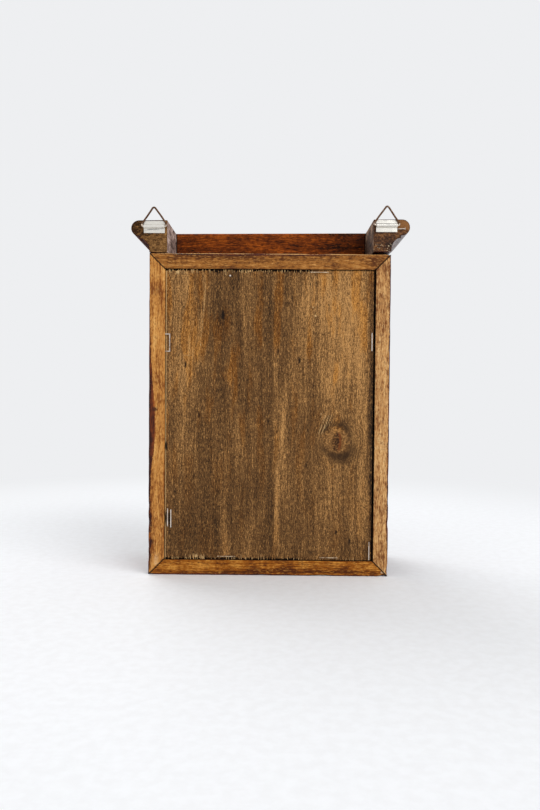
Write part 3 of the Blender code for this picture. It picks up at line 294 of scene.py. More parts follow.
class Finish(Nodes):
    """A material being made, with the place on the piece in millimetres as x, y and z."""

    def __init__(self, name):
        self.look = bpy.data.materials.new(name)
        self.look.use_nodes = True
        super().__init__(self.look.node_tree)
        self.shader = self.tree.nodes["Principled BSDF"]
        object_place = self.node("ShaderNodeTexCoord").outputs["Object"]
        split = self.node("ShaderNodeSeparateXYZ", object_place)
        self.place = tuple(Signal(self, out) / MM for out in split.outputs)
        self.x, self.y, self.z = self.place

    def set(self, name, value):
        self.feed(self.shader.inputs[name], value)

    def trait(self, name):
        """A number that the mesh carries at each vertex, or 0 where it carries none."""
        node = self.node("ShaderNodeAttribute")
        node.attribute_name = name
        return Signal(self, node.outputs["Fac"])

    def noise(self, sizes, detail=2.0, roughness=0.5, seed=0.0, place=None):
        """A noise from -0.5 to 0.5 whose grains are sizes millimetres along the coordinates."""
        sizes = np.broadcast_to(sizes, 3).tolist()
        scaled = [coordinate / size for coordinate, size in zip(place or self.place, sizes)]
        joined = self.node("ShaderNodeCombineXYZ", scaled[0] + seed, *scaled[1:])
        node = self.node(
            "ShaderNodeTexNoise", Vector=joined.outputs[0], Scale=1.0, Detail=detail, Roughness=roughness
        )
        return Signal(self, node.outputs[0]) - 0.5

    def mix(self, share, first, second):
        node = self.node("ShaderNodeMix")
        node.data_type = "RGBA"
        for index, value in ((0, share), (6, first), (7, second)):
            self.feed(node.inputs[index], value)
        return Signal(self, node.outputs[2])

    def over(self, colour, *layers):
        """Lays tones over a colour one after the other, each by its own share."""
        for share, layer in layers:
            colour = self.mix(share, colour, layer)
        return colour

    def ramp(self, share, tones):
        """Dark, middle and light tones, with the middle one at a share of 0."""
        return self.over(tones[0], (share.rise(-0.28, 0.0), tones[1]), (share.rise(0.0, 0.28), tones[2]))

    def bump(self, height, depth, strength):
        """Relief of depth millimetres for a height from 0 to 1."""
        node = self.node("ShaderNodeBump", Strength=strength, Distance=depth * MM, Height=height)
        self.set("Normal", node.outputs[0])


def wood_grain(finish, along, sway, seed):
    """Layers of grain, from broad bands to short dark pores and pale glints."""
    orders = {"x": (0, 2, 1), "y": (1, 0, 2), "z": (2, 0, 1)}
    straight = tuple(finish.place[i] for i in orders[along])
    run, across, through = straight
    drift = finish.noise((70, 25, 25), 1.0, seed=seed, place=straight)
    place = (run, across + drift * sway, through)
    bands = finish.noise((150, 5.5, 5.5), 2.0, seed=seed + 3.0, place=place)
    streaks = finish.noise((26, 1.1, 1.1), 3.0, 0.6, seed + 7.0, place)
    fibres = finish.noise((5, 0.5, 0.6), 2.0, 0.6, seed + 11.0, place)
    pores = finish.noise((2.8, 0.48, 0.6), 1.0, seed=seed + 17.0, place=place).rise(0.07, 0.18)
    glints = finish.noise((2.8, 0.5, 0.6), 1.0, seed=seed + 19.0, place=straight).rise(0.08, 0.2)
    return bands, streaks, fibres, pores, glints


END_GRAIN = (tone(48, 28, 11), tone(112, 78, 42), tone(166, 124, 74))
DARK_END_GRAIN = (tone(26, 12, 4), tone(66, 37, 16), tone(132, 88, 48))
# Also paints the highlight on the top board's rear arris
WORN_AND_LIT_WOOD = tone(196, 148, 90)
PALE_WOOD = tone(226, 202, 164)
# Also paints shadows on the crown's front run and returns
STAIN_AND_SHADOW = tone(48, 22, 16)
# Also paints shade in the gaps beside the panel
SEAM_AND_GAP_SHADE = tone(16, 10, 7)
VARNISH = (tone(40, 13, 10), tone(72, 29, 16), tone(116, 56, 22))
STRIP_VARNISH = (tone(44, 15, 9), tone(98, 44, 18), tone(168, 94, 36))
DOOR_VARNISH = (tone(38, 15, 11), tone(66, 28, 17), tone(98, 46, 24))
INSIDE_WOOD = (tone(92, 68, 45), tone(126, 97, 67), tone(150, 120, 87))
TRAY_WOOD = (tone(74, 57, 51), tone(146, 122, 112), tone(212, 188, 176))
# Tray wood darkened as painted shade, for the inner face of crown_return_left, which faces away from the
# window lamp
SHADED_TRAY_WOOD = (tone(36, 20, 10), tone(88, 60, 41), tone(160, 128, 102))
BROWN_WOOD = (tone(84, 52, 28), tone(122, 88, 54), tone(150, 116, 76))
RAIL_WOOD = (tone(104, 66, 34), tone(146, 100, 56), tone(178, 132, 80))
DOOR_WOOD = (tone(104, 58, 28), tone(152, 94, 48), tone(184, 124, 70))
SIDE_RIGHT_WOOD = (tone(120, 66, 24), tone(186, 126, 60), tone(214, 160, 90))
SIDE_LEFT_WOOD = (tone(108, 62, 30), tone(184, 134, 80), tone(226, 184, 124))
TOP_WOOD = (tone(84, 44, 15), tone(147, 93, 38), tone(196, 141, 76))
BOTTOM_WOOD = (tone(78, 34, 4), tone(143, 80, 14), tone(206, 142, 60))
CROWN_FRONT_WOOD = (tone(34, 11, 2), tone(104, 45, 8), tone(172, 86, 22))
CHIPS_TOP = CROWN_LOW_Z + 7.5
CHIPS_FADE = 2.5


def worn_wood(
    name, along, bare, seed, sway=6.0, gloss=0.5, varnish=VARNISH, inside=INSIDE_WOOD, end=END_GRAIN,
    specular=0.16, rough=0.5, chips=None,
):
    """Old wood: bare where varnish has gone, and browned inside.

    The mesh's traits steer it: varnish in millimetres past the coat's edge, mitre in
    millimetres towards one, shade that lightens (painted light on the crown's front run), and
    shares of inside, end grain, wear (on the top board's rear arris mostly a painted
    highlight), stains and painted shadows, pale marks, and hidden dark (painted shade in the
    gaps beside the panel, and a dark line round the returns' ends). Chips is the height up
    to which end grain is chipped.
    """
    finish = Finish(name)
    trait = finish.trait
    bands, streaks, fibres, pores, glints = wood_grain(finish, along, sway, seed)
    figure = bands * 0.3 + streaks * 0.32 + fibres * 0.38
    blotch = finish.noise(14, 3.0, 0.6, seed)
    smudge = finish.noise(3.2, 3.0, 0.65, seed + 2.0)
    speck = finish.noise(1.1, 3.0, 0.6, seed)
    dirt = smudge * 1.3 + blotch * 1.2 + speck * 0.7
    turned = (finish.y, finish.x, finish.z)
    scrapes = finish.noise((9, 0.9, 5), 3.0, 0.6, seed + 9.0, turned)
    inner_tone = scrapes * rough + smudge * 0.5 + figure * 1.1
    rings = finish.noise((9, 2.4, 0.75), 3.0, 0.65, seed + 5.0, turned)
    grit = finish.noise((1.0, 2.0, 0.8), 2.0, 0.6, seed + 6.0)
    end_tone = rings * 1.2 + grit * 0.6 + smudge * 0.5 + blotch * 0.7 + trait("shade")
    wood = finish.over(
        finish.ramp(blotch * 0.7 + smudge * 0.6 + figure * 2.2 + trait("shade"), bare),
        (pores * 0.7, bare[0]),
        (glints * 0.55, bare[2]),
        (dirt.rise(0.12, 0.55) * 0.8, bare[0]),
        (trait("inside"), finish.ramp(inner_tone, inside)),
        (trait("end"), finish.ramp(end_tone, end)),
    )
    if chips:
        chipped = finish.noise((0.9, 3, 0.7), 1.0, seed=seed + 25.0).rise(0.15, 0.23)
        chipped = chipped * trait("end") * finish.z.rise(chips + CHIPS_FADE, chips - CHIPS_FADE)
        wood = finish.mix(chipped * 0.8, wood, PALE_WOOD)

    edge = trait("varnish") + speck * 1.5 + blotch * 1.2
    coat = edge.rise(-0.16, 0.16)
    coat_tone = blotch * 0.7 + bands * 0.9 + streaks * 1.1 + smudge * 0.4 + fibres * 0.5
    seam = trait("mitre") - speck * 0.7
    dark = (seam.rise(0.25, 0.95) * 0.94).most(trait("hidden"))
    colour = finish.over(
        wood,
        (coat, finish.ramp(coat_tone, varnish)),
        (coat * (coat * -1.0 + 1.0) * 2.4, STAIN_AND_SHADOW),
        # wear, and on the top board's rear arris mostly a painted highlight
        ((trait("worn") + speck * 1.1).rise(0.42, 0.85), WORN_AND_LIT_WOOD),
        ((trait("pale") + speck * 0.5).rise(0.3, 0.8), PALE_WOOD),
        # stains, and on the crown's front run and returns painted shadows
        ((trait("stain_and_shadow") + speck * 0.45).rise(0.2, 0.85) * 0.85, STAIN_AND_SHADOW),
        # dark mitre seams, and painted shade in the gaps beside the panel
        (dark, SEAM_AND_GAP_SHADE),
    )
    finish.set("Base Color", colour)

    dull = speck * 0.25 + blotch * 0.3 + 0.8
    glossy = speck * 0.3 + blotch * 0.35 + gloss
    sheen = coat * (glossy - dull) + dull
    finish.set("Roughness", sheen + dark * 0.4 + trait("inside") * 0.15)
    finish.set("Specular IOR Level", specular)
    relief = streaks * 0.35 + fibres * 0.35 + speck * 0.2 - pores * 0.5 + 0.45
    finish.bump(relief * (coat * -0.7 + 1.0), 0.16, 0.8)
    return finish.look


STAPLE_RUST_X = on_plane(168.6, 341, BACK_Y)[0]
RUST_HEIGHTS = (50.0, 150.0)
KNOT_PX = (337, 442)
KNOT = on_plane(*KNOT_PX, PANEL_HIGH.y)
KNOT_REACH = 9.2
KNOT_SQUAT = 0.96
CORE_REACH = 7.4
PANEL_TONES = (tone(36, 23, 11), tone(98, 67, 36), tone(188, 139, 82))
PANEL_RUST = (tone(44, 24, 5), tone(112, 66, 20), tone(194, 132, 58))
KNOT_TONES = (tone(48, 31, 16), tone(112, 77, 42), tone(170, 126, 76))
KNOT_SHADOW = tone(52, 34, 18)
CORE_DARK = tone(42, 24, 13)
CORE_TAN = tone(122, 82, 44)
CORE_RED = tone(104, 54, 24)
PANEL_PALE = tone(200, 164, 112)
PANEL_DARK = tone(16, 10, 7)


def panel_wood():
    """The thin back panel: coarse upright fibres that flow round a knot."""
    finish = Finish("panel_wood")
    from_x = finish.x - KNOT[0]
    from_z = (finish.z - KNOT[1]) * KNOT_SQUAT
    reach = (from_x * from_x + from_z * from_z).math("SQRT")
    push = (reach * reach + 2.0).math("POWER", -1.0) * KNOT_REACH * KNOT_REACH
    fade = reach.rise(3.2 * KNOT_REACH, KNOT_REACH)
    sway = finish.noise((60, 60, 110), 1.0)
    across = finish.x - from_x * push.least(0.8) * fade * 0.8 + sway * 7.0

    place = (across, finish.y, finish.z)
    broad = finish.noise((12, 40, 150), 2.0, 0.55, 4.0, place)
    bands = finish.noise((3.2, 30, 60), 2.0, 0.6, 8.0, place)
    streaks = finish.noise((0.9, 20, 16), 3.0, 0.62, 12.0, place)
    fibres = finish.noise((0.5, 10, 3.6), 2.0, 0.65, 16.0, place)
    crumbs = finish.noise((0.5, 6, 1.1), 2.0, 0.7, 20.0, place)
    figure = broad * 0.35 + bands * 0.3 + streaks * 0.45 + fibres * 0.85 + crumbs * 0.85
    figure = figure + finish.trait("tone")
    rusty = finish.noise((6, 20, 34), 2.0, 0.5, 24.0, place).rise(-0.02, 0.18)
    rusty = rusty * (finish.z.rise(*RUST_HEIGHTS) * 0.6 + 0.2)
    hairs = finish.noise((0.46, 8, 2.6), 1.0, 0.5, 36.0, place).rise(0.1, 0.22)
    nicks = finish.noise((0.46, 8, 2.8), 1.0, 0.5, 40.0, place).rise(0.1, 0.22)

    wander = finish.noise((2.6, 9, 3.4), 2.0, 0.6, 32.0)
    turns = finish.noise((0.9, 14, 14), 2.0, 0.6, 28.0, (reach + wander * 1.6, from_x, from_z))
    ringed = reach.rise(KNOT_REACH * 1.2, KNOT_REACH * 0.75)
    core_x = from_x * 2.2
    core_reach = (core_x * core_x + from_z * from_z).math("SQRT") + wander * 5.0 + crumbs * 2.2
    core = core_reach.rise(CORE_REACH * 1.15, CORE_REACH * 0.8)
    side = (from_x * -1.0 + wander * 4.0 - 0.9).rise(-0.5, 0.7)
    core_wood = finish.over(CORE_DARK, (crumbs.rise(-0.08, 0.14), CORE_TAN), (side, CORE_RED))
    core_wood = finish.mix(turns.rise(-0.14, -0.04), CORE_DARK, core_wood)
    grit = finish.noise((0.7, 0.7, 1.0), 2.0, 0.6)
    wood = finish.over(
        finish.ramp(figure, PANEL_TONES),
        (rusty, finish.ramp(figure, PANEL_RUST)),
        (hairs * 0.5, PANEL_TONES[2]),
        (nicks * 0.6, PANEL_TONES[0]),
        (ringed * 0.6, finish.ramp(turns * 0.9 + crumbs * 0.9, KNOT_TONES)),
        (core * 0.9, core_wood),
        ((finish.trait("shade") + fibres * 0.25).rise(0.0, 1.0) * 0.9, KNOT_SHADOW),
        ((finish.trait("pale") + grit * 0.5).rise(0.25, 0.75), PANEL_PALE),
        ((finish.trait("dark") + grit * 0.3).rise(0.12, 0.8) * 0.94, PANEL_DARK),
    )
    finish.set("Base Color", wood)
    finish.set("Roughness", grit * 0.25 + 0.76)
    finish.set("Specular IOR Level", 0.12)
    finish.bump(streaks * 0.4 + fibres * 0.6 + crumbs * 0.5, 0.3, 0.9)
    return finish.look


def metal(name, light, dark, roughness, tarnish_share, metallic=1.0, grains=3.0, scratch=0.04, rust=None):
    """A metal whose tarnish darkens and dulls it in patches, with fine scratches.

    The mesh's shade trait brightens or darkens it: painted highlights and painted shade on the saddles,
    and a painted highlight at the rings' bends; rust is the X beyond which it has gone dark.
    """
    finish = Finish(name)
    fine = finish.noise(0.5, 3.0, 0.6)
    scratches = finish.noise((0.25, 0.25, 4.0), 2.0)
    tarnish = finish.noise(grains, 3.0, 0.62) * 1.8 + fine * 0.8 + tarnish_share - finish.trait("shade")
    if rust:
        tarnish = tarnish + (finish.x - rust).rise(-0.5, 0.3) * 0.9
    tarnish = tarnish.rise(0.2, 0.8)
    finish.set("Base Color", finish.mix(tarnish, light, dark))
    finish.set("Roughness", tarnish * 0.25 + scratches * 0.3 + roughness)
    finish.set("Metallic", metallic)
    finish.bump(fine * 0.6 + scratches * 0.4, scratch, 0.6)
    return finish.look


def moulded(name, colour, pale, roughness):
    """A moulded plastic or ceramic with a fine grain and faint rubbed patches."""
    finish = Finish(name)
    rubbed = finish.noise(4, 3.0, 0.6)
    grain = finish.noise(0.35, 2.0, 0.6)
    finish.set("Base Color", finish.mix(rubbed.rise(-0.05, 0.3), colour, pale))
    finish.set("Roughness", rubbed * 0.3 + grain * 0.2 + roughness)
    finish.bump(grain, 0.05, 0.5)
    return finish.look


def door_wood(name, along, seed):
    return worn_wood(name, along, DOOR_WOOD, seed, varnish=DOOR_VARNISH, specular=0.24)


LOOKS = {
    "side_right": worn_wood("frame_wood_image_left", "z", SIDE_RIGHT_WOOD, 2.0, varnish=STRIP_VARNISH),
    "side_left": worn_wood("frame_wood_image_right", "z", SIDE_LEFT_WOOD, 5.0),
    "top_board": worn_wood("frame_wood_top", "x", TOP_WOOD, 9.0),
    "bottom_board": worn_wood("frame_wood_bottom", "x", BOTTOM_WOOD, 13.0),
    "crown_front": worn_wood(
        "crown_front_wood", "x", CROWN_FRONT_WOOD, 17.0, 10.0, 0.34, inside=TRAY_WOOD, specular=0.12
    ),
    "crown_return_right": worn_wood(
        "crown_return_wood_image_left", "y", BROWN_WOOD, 21.0, gloss=0.9, inside=TRAY_WOOD, specular=0.1,
        rough=1.3,
    ),
    "crown_return_left": worn_wood(
        "crown_return_wood_image_right", "y", BROWN_WOOD, 23.0, gloss=0.3, inside=SHADED_TRAY_WOOD,
        end=DARK_END_GRAIN, specular=0.26, rough=1.3, chips=CHIPS_TOP,
    ),
    "door_stile": door_wood("door_stile_wood", "z", 25.0),
    "door_rail": door_wood("door_rail_wood", "x", 29.0),
    "key_rail": worn_wood("key_rail_wood", "x", RAIL_WOOD, 33.0, varnish=RAIL_WOOD),
    "panel": panel_wood(),
    "brass": metal("aged_brass", tone(196, 158, 92), tone(92, 66, 38), 0.3, 0.42),
    "tin": metal(
        "saddle_tin", tone(226, 222, 213), tone(112, 112, 114), 0.34, 0.12, 0.8, (12.0, 9.0, 1.3), 0.02
    ),
    "wire": metal("ring_wire", tone(206, 192, 176), tone(100, 73, 54), 0.36, 0.95),
    "steel": metal("staple_steel", tone(222, 208, 194), tone(128, 104, 86), 0.3, 0.32),
    "rusty_steel": metal(
        "staple_steel_rusty", tone(226, 212, 198), tone(62, 36, 24), 0.34, 0.1, rust=STAPLE_RUST_X
    ),
    "dull_steel": metal("staple_steel_dull", tone(208, 184, 152), tone(110, 80, 56), 0.38, 0.35),
    "plastic": moulded("catch_plastic", tone(72, 50, 36), tone(96, 72, 54), 0.46),
    "magnet": moulded("magnet_ferrite", tone(52, 50, 50), tone(82, 80, 78), 0.5),
}


# Meshes

# Rows at each end of a run: how many, how far they reach, and how they crowd towards the end
END_ROWS = 12
END_REACH = 1.5
END_CROWDING = 1.7
LEAST_STEP = 0.002
HAIR = 0.02
MITRE_REACH = 1.2
SMOOTH_ANGLE = math.radians(38)


def arc(centre, radii, start, end, steps):
    """Points along a round or elliptic arc, with both its ends."""
    angles = [start + (end - start) * i / steps for i in range(steps + 1)]
    return [np.array(centre) + np.array(radii) * (math.cos(a), math.sin(a)) for a in angles]


def arc_corners(centre, radii, start, end, steps, spacing=9.0):
    """Sharp corners along an arc, for use among the corners of an outline."""
    return [(u, v, 0, spacing) for u, v in arc(centre, radii, start, end, steps)]


def fillet(before, corner, after, radius, steps=4):
    """Points that round a corner of an outline; a radius of 0 keeps it sharp."""
    before, corner, after = (np.array(point, float) for point in (before, corner, after))
    if radius == 0:
        return [corner]
    back = (before - corner) / np.linalg.norm(before - corner)
    on = (after - corner) / np.linalg.norm(after - corner)
    half = math.acos(np.clip(back @ on, -1, 1)) / 2
    middle = (back + on) / np.linalg.norm(back + on)
    centre = corner + middle * radius / math.sin(half)
    start = corner + back * radius / math.tan(half) - centre
    end = corner + on * radius / math.tan(half) - centre
    first = math.atan2(start[1], start[0])
    sweep = math.remainder(math.atan2(end[1], end[0]) - first, 2 * math.pi)
    return arc(centre, radius, first, first + sweep, steps)


def trace(corners):
    """A closed outline from (u, v, radius, spacing of the edge to the next corner)."""
    count = len(corners)
    rounded = []
    for i, (u, v, radius, _) in enumerate(corners):
        rounded.append(fillet(corners[i - 1][:2], (u, v), corners[(i + 1) % count][:2], radius))
    points = []
    for i, corner in enumerate(rounded):
        points += corner
        start, end = corner[-1], rounded[(i + 1) % count][0]
        pieces = max(1, round(np.linalg.norm(end - start) / corners[i][3]))
        points += [start + (end - start) * k / pieces for k in range(1, pieces)]
    return np.array(points)


def outward(outline):
    """The outline's unit normals, pointing out of the wood."""
    following = np.roll(outline, -1, axis=0)
    way = following - np.roll(outline, 1, axis=0)
    normals = np.stack((way[:, 1], -way[:, 0]), axis=1) / np.linalg.norm(way, axis=1)[:, None]
    area = (outline[:, 0] * following[:, 1] - following[:, 0] * outline[:, 1]).sum()
    return normals if area > 0 else -normals


def both_sides(places):
    """Pairs of places a hair apart, between which a sharp step can stand."""
    return sorted(place + step for place in places for step in (-HAIR, HAIR))


def in_order(rows):
    """Pushes rows that would cross their neighbours off them, away from the nearer end."""
    steps = np.arange(len(rows))[:, None] * LEAST_STEP
    half = len(rows) // 2
    lower = np.maximum.accumulate((rows - steps)[:half], axis=0)
    upper = np.minimum.accumulate((rows - steps)[half:][::-1], axis=0)[::-1]
    return np.concatenate((lower, upper)) + steps


class Run:
    """A length of section: u across from the reference edge, v along it, s along the run.

    Ways are those of u, v and s; slopes are the leans of both ends, 1 for a mitre inward,
    -1 outward and 0 for a square cut; extra holds places along the run for more rows.
    """

    def __init__(self, outline, origin, ways, half_length, slopes, spacing, extra=()):
        self.outline = outline
        across = outline[:, 0]
        low = -half_length + slopes[0] * across + MITRE_GAP * abs(slopes[0])
        high = half_length - slopes[1] * across - MITRE_GAP * abs(slopes[1])
        start = low.max() + END_REACH
        end = high.min() - END_REACH
        shares = (np.arange(END_ROWS) / END_ROWS) ** END_CROWDING
        middle = np.linspace(start, end, max(2, round((end - start) / spacing)))
        rows = [low + share * (start - low) for share in shares]
        rows += [np.full(len(outline), place) for place in sorted([*middle, *extra])]
        rows += [high - share * (high - end) for share in reversed(shares)]
        self.s = in_order(np.clip(rows, low, high))
        self.u, self.v = (np.broadcast_to(column, self.s.shape) for column in outline.T)
        self.from_low = self.s - low
        self.from_high = high - self.s
        u_way, v_way, s_way = np.array(ways, float)
        self.places = np.array(origin, float) + self.s[..., None] * s_way
        self.places = self.places + self.u[..., None] * u_way + self.v[..., None] * v_way
        normals = outward(outline)
        self.normals = normals[:, :1] * u_way + normals[:, 1:] * v_way

    def sink(self, depths):
        """Moves each vertex into the wood by a depth in millimetres."""
        self.places = self.places - self.normals * depths[..., None]

    def weather(self, sizes, seed, middle, swing, least, more=0.0):
        """Sinks the surface by middle, give or take swing, but never under least; then by more."""
        swell = middle + swing * ripple(self.places, sizes, seed)
        self.sink(np.clip(swell, least, None) + more)

    def house(self, face, across, spans, y):
        """Lowers a face to y where leaves or a plate are let in, between pairs of places."""
        let_in = [(self.s > low) & (self.s < high) for low, high in zip(spans[::2], spans[1::2])]
        let_in = np.any(let_in, axis=0) & face & (self.u >= across[0]) & (self.u <= across[1])
        self.places[let_in, 1] = y

    def by(self, u, v, middle, reach):
        """1 about middle millimetres from the section's corner at u and v, and 0 away from there."""
        return near(np.hypot(self.u - u, self.v - v), middle, reach)

    def mitre(self, *distances):
        """0 away from the mitred ends, and MITRE_REACH on them."""
        distances = distances or (self.from_low, self.from_high)
        return np.clip(MITRE_REACH - np.min(distances, axis=0), 0, None)


def grid_faces(index):
    """The quads between neighbouring rows and columns of vertices."""
    quads = np.stack((index[:-1, :-1], index[:-1, 1:], index[1:, 1:], index[1:, :-1]), axis=-1)
    return quads.reshape(-1, 4).tolist()


def loft_faces(rows, columns, outline=None, closed=False):
    """The quads round a loft, and unless it closes, a cap at each end, cut up by an outline."""
    index = np.arange(rows * columns).reshape(rows, columns)
    index = np.concatenate((index, index[:, :1]), axis=1)
    if closed:
        return grid_faces(np.concatenate((index, index[:1])))
    faces = grid_faces(index)
    cap = [tuple(range(columns))]
    if outline is not None:
        cap = geometry.tessellate_polygon([[Vector((u, v, 0)) for u, v in outline]])
    far = (rows - 1) * columns
    for corners in cap:
        faces.append(tuple(reversed(corners)))
        faces.append(tuple(index + far for index in corners))
    return faces


def make_piece(name, places, faces, look, body, traits, stands_for=()):
    """A mesh object from millimetres, which rides on its body and stands for CAD nodes."""
    mesh = bpy.data.meshes.new(name)
    mesh.from_pydata((np.asarray(places).reshape(-1, 3) * MM).tolist(), [], faces)
    for trait, values in traits.items():
        layer = mesh.attributes.new(trait, "FLOAT", "POINT")
        layer.data.foreach_set("value", np.asarray(values, np.float32).ravel())
    shape = bmesh.new()
    shape.from_mesh(mesh)
    bmesh.ops.recalc_face_normals(shape, faces=shape.faces)
    shape.to_mesh(mesh)
    shape.free()
    mesh.shade_smooth()
    mesh.set_sharp_from_angle(angle=SMOOTH_ANGLE)
    mesh.materials.append(LOOKS[look])
    obj = add_object(name, mesh)
    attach(obj, body)
    if stands_for:
        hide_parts(*stands_for)


def loft_piece(name, places, look, body, traits, stands_for, outline=None):
    """A piece from rows of vertices round it."""
    faces = loft_faces(*places.shape[:2], outline)
    make_piece(name, places, faces, look, body, traits, [stands_for])


def tube_piece(name, path, radii, sides, look, body, stands_for, closed=False, shade=0.0):
    """A round wire along a path; shade brightens it."""
    path = np.array(path, float)
    way = np.roll(path, -1, axis=0) - np.roll(path, 1, axis=0)
    if not closed:
        way[0] = path[1] - path[0]
        way[-1] = path[-1] - path[-2]
    way = way / np.linalg.norm(way, axis=1)[:, None]
    plane = np.linalg.svd(path - path.mean(0))[2][2]
    side = np.cross(way, plane)
    side = side / np.linalg.norm(side, axis=1)[:, None]
    lift = np.cross(side, way)
    angles = np.arange(sides) / sides * 2 * math.pi
    rings = side[:, None] * np.cos(angles)[None, :, None] + lift[:, None] * np.sin(angles)[None, :, None]
    places = path[:, None] + rings * np.broadcast_to(radii, len(path))[:, None, None]
    faces = loft_faces(len(path), sides, closed=closed)
    traits = {"shade": np.broadcast_to(np.reshape(shade, (-1, 1)), places.shape[:2])}
    make_piece(name, places, faces, look, body, traits, [stands_for])


def closed_sheet(places, far_y, traits, far_varnish=0.0):
    """Closes a grid with walls to a flat far face, whose traits but the varnish are nothing."""
    rows, columns = places.shape[:2]
    index = np.arange(rows * columns).reshape(rows, columns)
    faces = grid_faces(index)
    border = np.concatenate((index[0], index[1:, -1], index[-1, -2::-1], index[-2:0:-1, 0])).tolist()
    flat = places.reshape(-1, 3)
    far = flat[border]
    far[:, 1] = far_y
    start = len(flat)
    count = len(border)
    for i in range(count):
        on = (i + 1) % count
        faces.append([border[i], start + i, start + on, border[on]])
    faces.append([start + i for i in range(count)])
    for name, values in traits.items():
        far_value = far_varnish if name == "varnish" else 0.0
        traits[name] = np.concatenate((values.ravel(), np.full(count, far_value)))
    return faces, np.concatenate((flat, far)), traits


# Carcass boards

# Width in millimetres of the varnish that runs over each board's rear rim, by the
# photograph's row or column
COAT_EDGES = {
    "side_right": (
        (253, 0.5), (300, 0.7), (330, 0.9), (360, 1.5), (385, 2.9), (405, 4.4), (436, 4.7),
        (452, 3.6), (470, 2.0), (488, 1.3), (500, 1.0), (508, 0.8), (516, 2.4), (523, 1.6),
        (536, 1.2), (543, 2.8), (549, 1.5), (556, 1.8), (562, 1.0), (574, 0.5),
    ),
    "side_left": ((253, 0.7), (300, 0.8), (430, 0.8), (500, 1.2), (525, 1.3), (545, 0.9), (574, 0.4)),
    "top_board": ((149, 0.4), (180, 1.5), (240, 1.8), (300, 1.5), (350, 0.9), (391, 0.5)),
    "bottom_board": ((149, 0.9), (220, 1.3), (300, 1.0), (330, 0.7), (386, 0.9)),
}
# Stains, pale marks and shades on the rims
RIM_STAINS = {
    "side_right": (
        (158, 290, 9, 9, 0.38), (154.5, 409, 3.4, 3, 0.95), (160, 303, 6, 2, 0.25), (158, 512, 2, 2, 0.3),
        (151.5, 541, 3, 3, 0.85), (150.5, 522, 2, 6, 0.7), (150, 503, 1.6, 5, 0.7), (150.5, 556, 2, 5, 0.7),
        (156, 545, 3, 1.5, 0.4), (151.5, 440, 2.2, 4, 0.8), (150.5, 393, 1.6, 6, 0.5),
        (150, 531, 1.6, 2, 0.8), (150, 565, 1.6, 4, 0.6), (153, 526, 3, 1.5, 0.4),
    ),
    "side_left": (
        (381, 303, 7, 2.4, 0.5), (377.5, 490, 1.6, 1.8, 0.8), (388, 307, 2, 3, 0.5),
        (374.5, 449, 1.2, 1.4, 0.8), (386, 267, 2.5, 4, 0.35),
    ),
    "top_board": (
        (345, 265, 4, 1.6, 0.5), (352, 263, 3, 1.2, 0.5), (300, 257, 60, 1.6, 0.35), (380, 262, 10, 6, 0.22),
    ),
    "bottom_board": ((335, 573, 3, 1.2, 0.6), (160, 569, 12, 3, 0.15)),
}
RIM_PALES = {
    "side_right": (
        (157, 325, 5, 22, 0.16), (156, 500, 4, 30, 0.24), (156, 560, 5, 14, 0.46), (161.5, 470, 1.2, 50, 0.2),
    ),
    "side_left": ((379, 265.5, 1, 1, 0.95), (383, 573, 1.6, 2.2, 0.7)),
    "top_board": ((215, 260, 25, 2.5, 0.2), (340, 262, 30, 3, 0.2)),
    "bottom_board": ((382, 572.5, 2.6, 2.2, 0.6), (250, 564, 60, 1.2, 0.12)),
}
RIM_SHADES = {
    "side_right": (
        (157, 284, 9, 14, -0.1), (157, 330, 7, 26, 0.12), (160, 462, 5, 22, 0.14), (153, 520, 4, 26, -0.24),
        (157, 405, 6, 12, -0.1), (152, 545, 3, 8, -0.24),
    ),
    "side_left": (
        (381, 268, 8, 8, -0.2), (380, 400, 6, 60, 0.04), (384, 530, 6, 30, 0.06), (376, 350, 2, 60, -0.08),
        (379, 560, 7, 6, -0.12), (380, 300, 8, 20, -0.06),
    ),
    "top_board": (
        (220, 256.5, 60, 1.6, -0.2), (190, 261, 30, 4, 0.08), (175, 262, 10, 6, -0.08),
        (378, 262, 14, 8, -0.22), (330, 262, 30, 6, -0.12),
    ),
    "bottom_board": (
        (260, 572, 110, 1.4, -0.3), (250, 569, 80, 3, -0.08), (372, 568, 10, 6, 0.08),
        (160, 568, 10, 5, -0.08),
    ),
}
# Dents on the rear outer arris: photograph place, half length in pixels, depth
ARRIS_DENTS = {
    "side_right": ((148, 506, 3, 0.5), (148, 522, 4, 0.7), (147, 545, 3, 0.6), (147, 556, 3, 0.5)),
    "side_left": ((387, 500, 5, 0.5), (386, 524, 3, 0.9), (387, 478, 4, 0.4), (386, 571, 4, 1.0)),
    "top_board": ((176, 254, 8, 0.35), (390, 254, 3, 0.6)),
    "bottom_board": ((321, 575, 6, 0.8), (384, 575.5, 4.5, 1.7), (150, 574, 3, 0.5), (262, 575, 5, 0.35)),
}
# How strongly the rear outer arris is painted pale: rubbing, and on the top board mostly a painted highlight
# along its lit upper edge
ARRIS_WEAR_AND_HIGHLIGHT = {"side_right": 0.1, "side_left": 0.1, "top_board": 0.95, "bottom_board": 0.15}
LEAF_ACROSS = (-1.0, LEAF_REACH)
RIM_STRIP = 3.0
SIDE_STRIP = 3.5
# Millimetres past the coat's edge, well on the varnish and well off it
VARNISHED = 2.2
BARE = -3.0


def board_corners(rim):
    """A board's section, with finer strips beside its outer arrises."""
    return (
        (BOARD_THICKNESS, FRONT_Y, 0.5, 5.0),
        (BOARD_THICKNESS, LEDGE_Y, 0, 3.0),
        (rim, LEDGE_Y, 0, 1.2),
        (rim, BACK_Y, 0.3, 0.8),
        (RIM_STRIP, BACK_Y, 0, 0.4),
        (0, BACK_Y, 0.7, 0.5),
        (0, BACK_Y - SIDE_STRIP, 0, 3.0),
        (0, FRONT_Y + SIDE_STRIP, 0, 0.9),
        (0, FRONT_Y, 0.7, 1.6),
        (LEAF_REACH - HAIR, FRONT_Y, 0, 1.0),
        (LEAF_REACH + HAIR, FRONT_Y, 0, 2.4),
    )


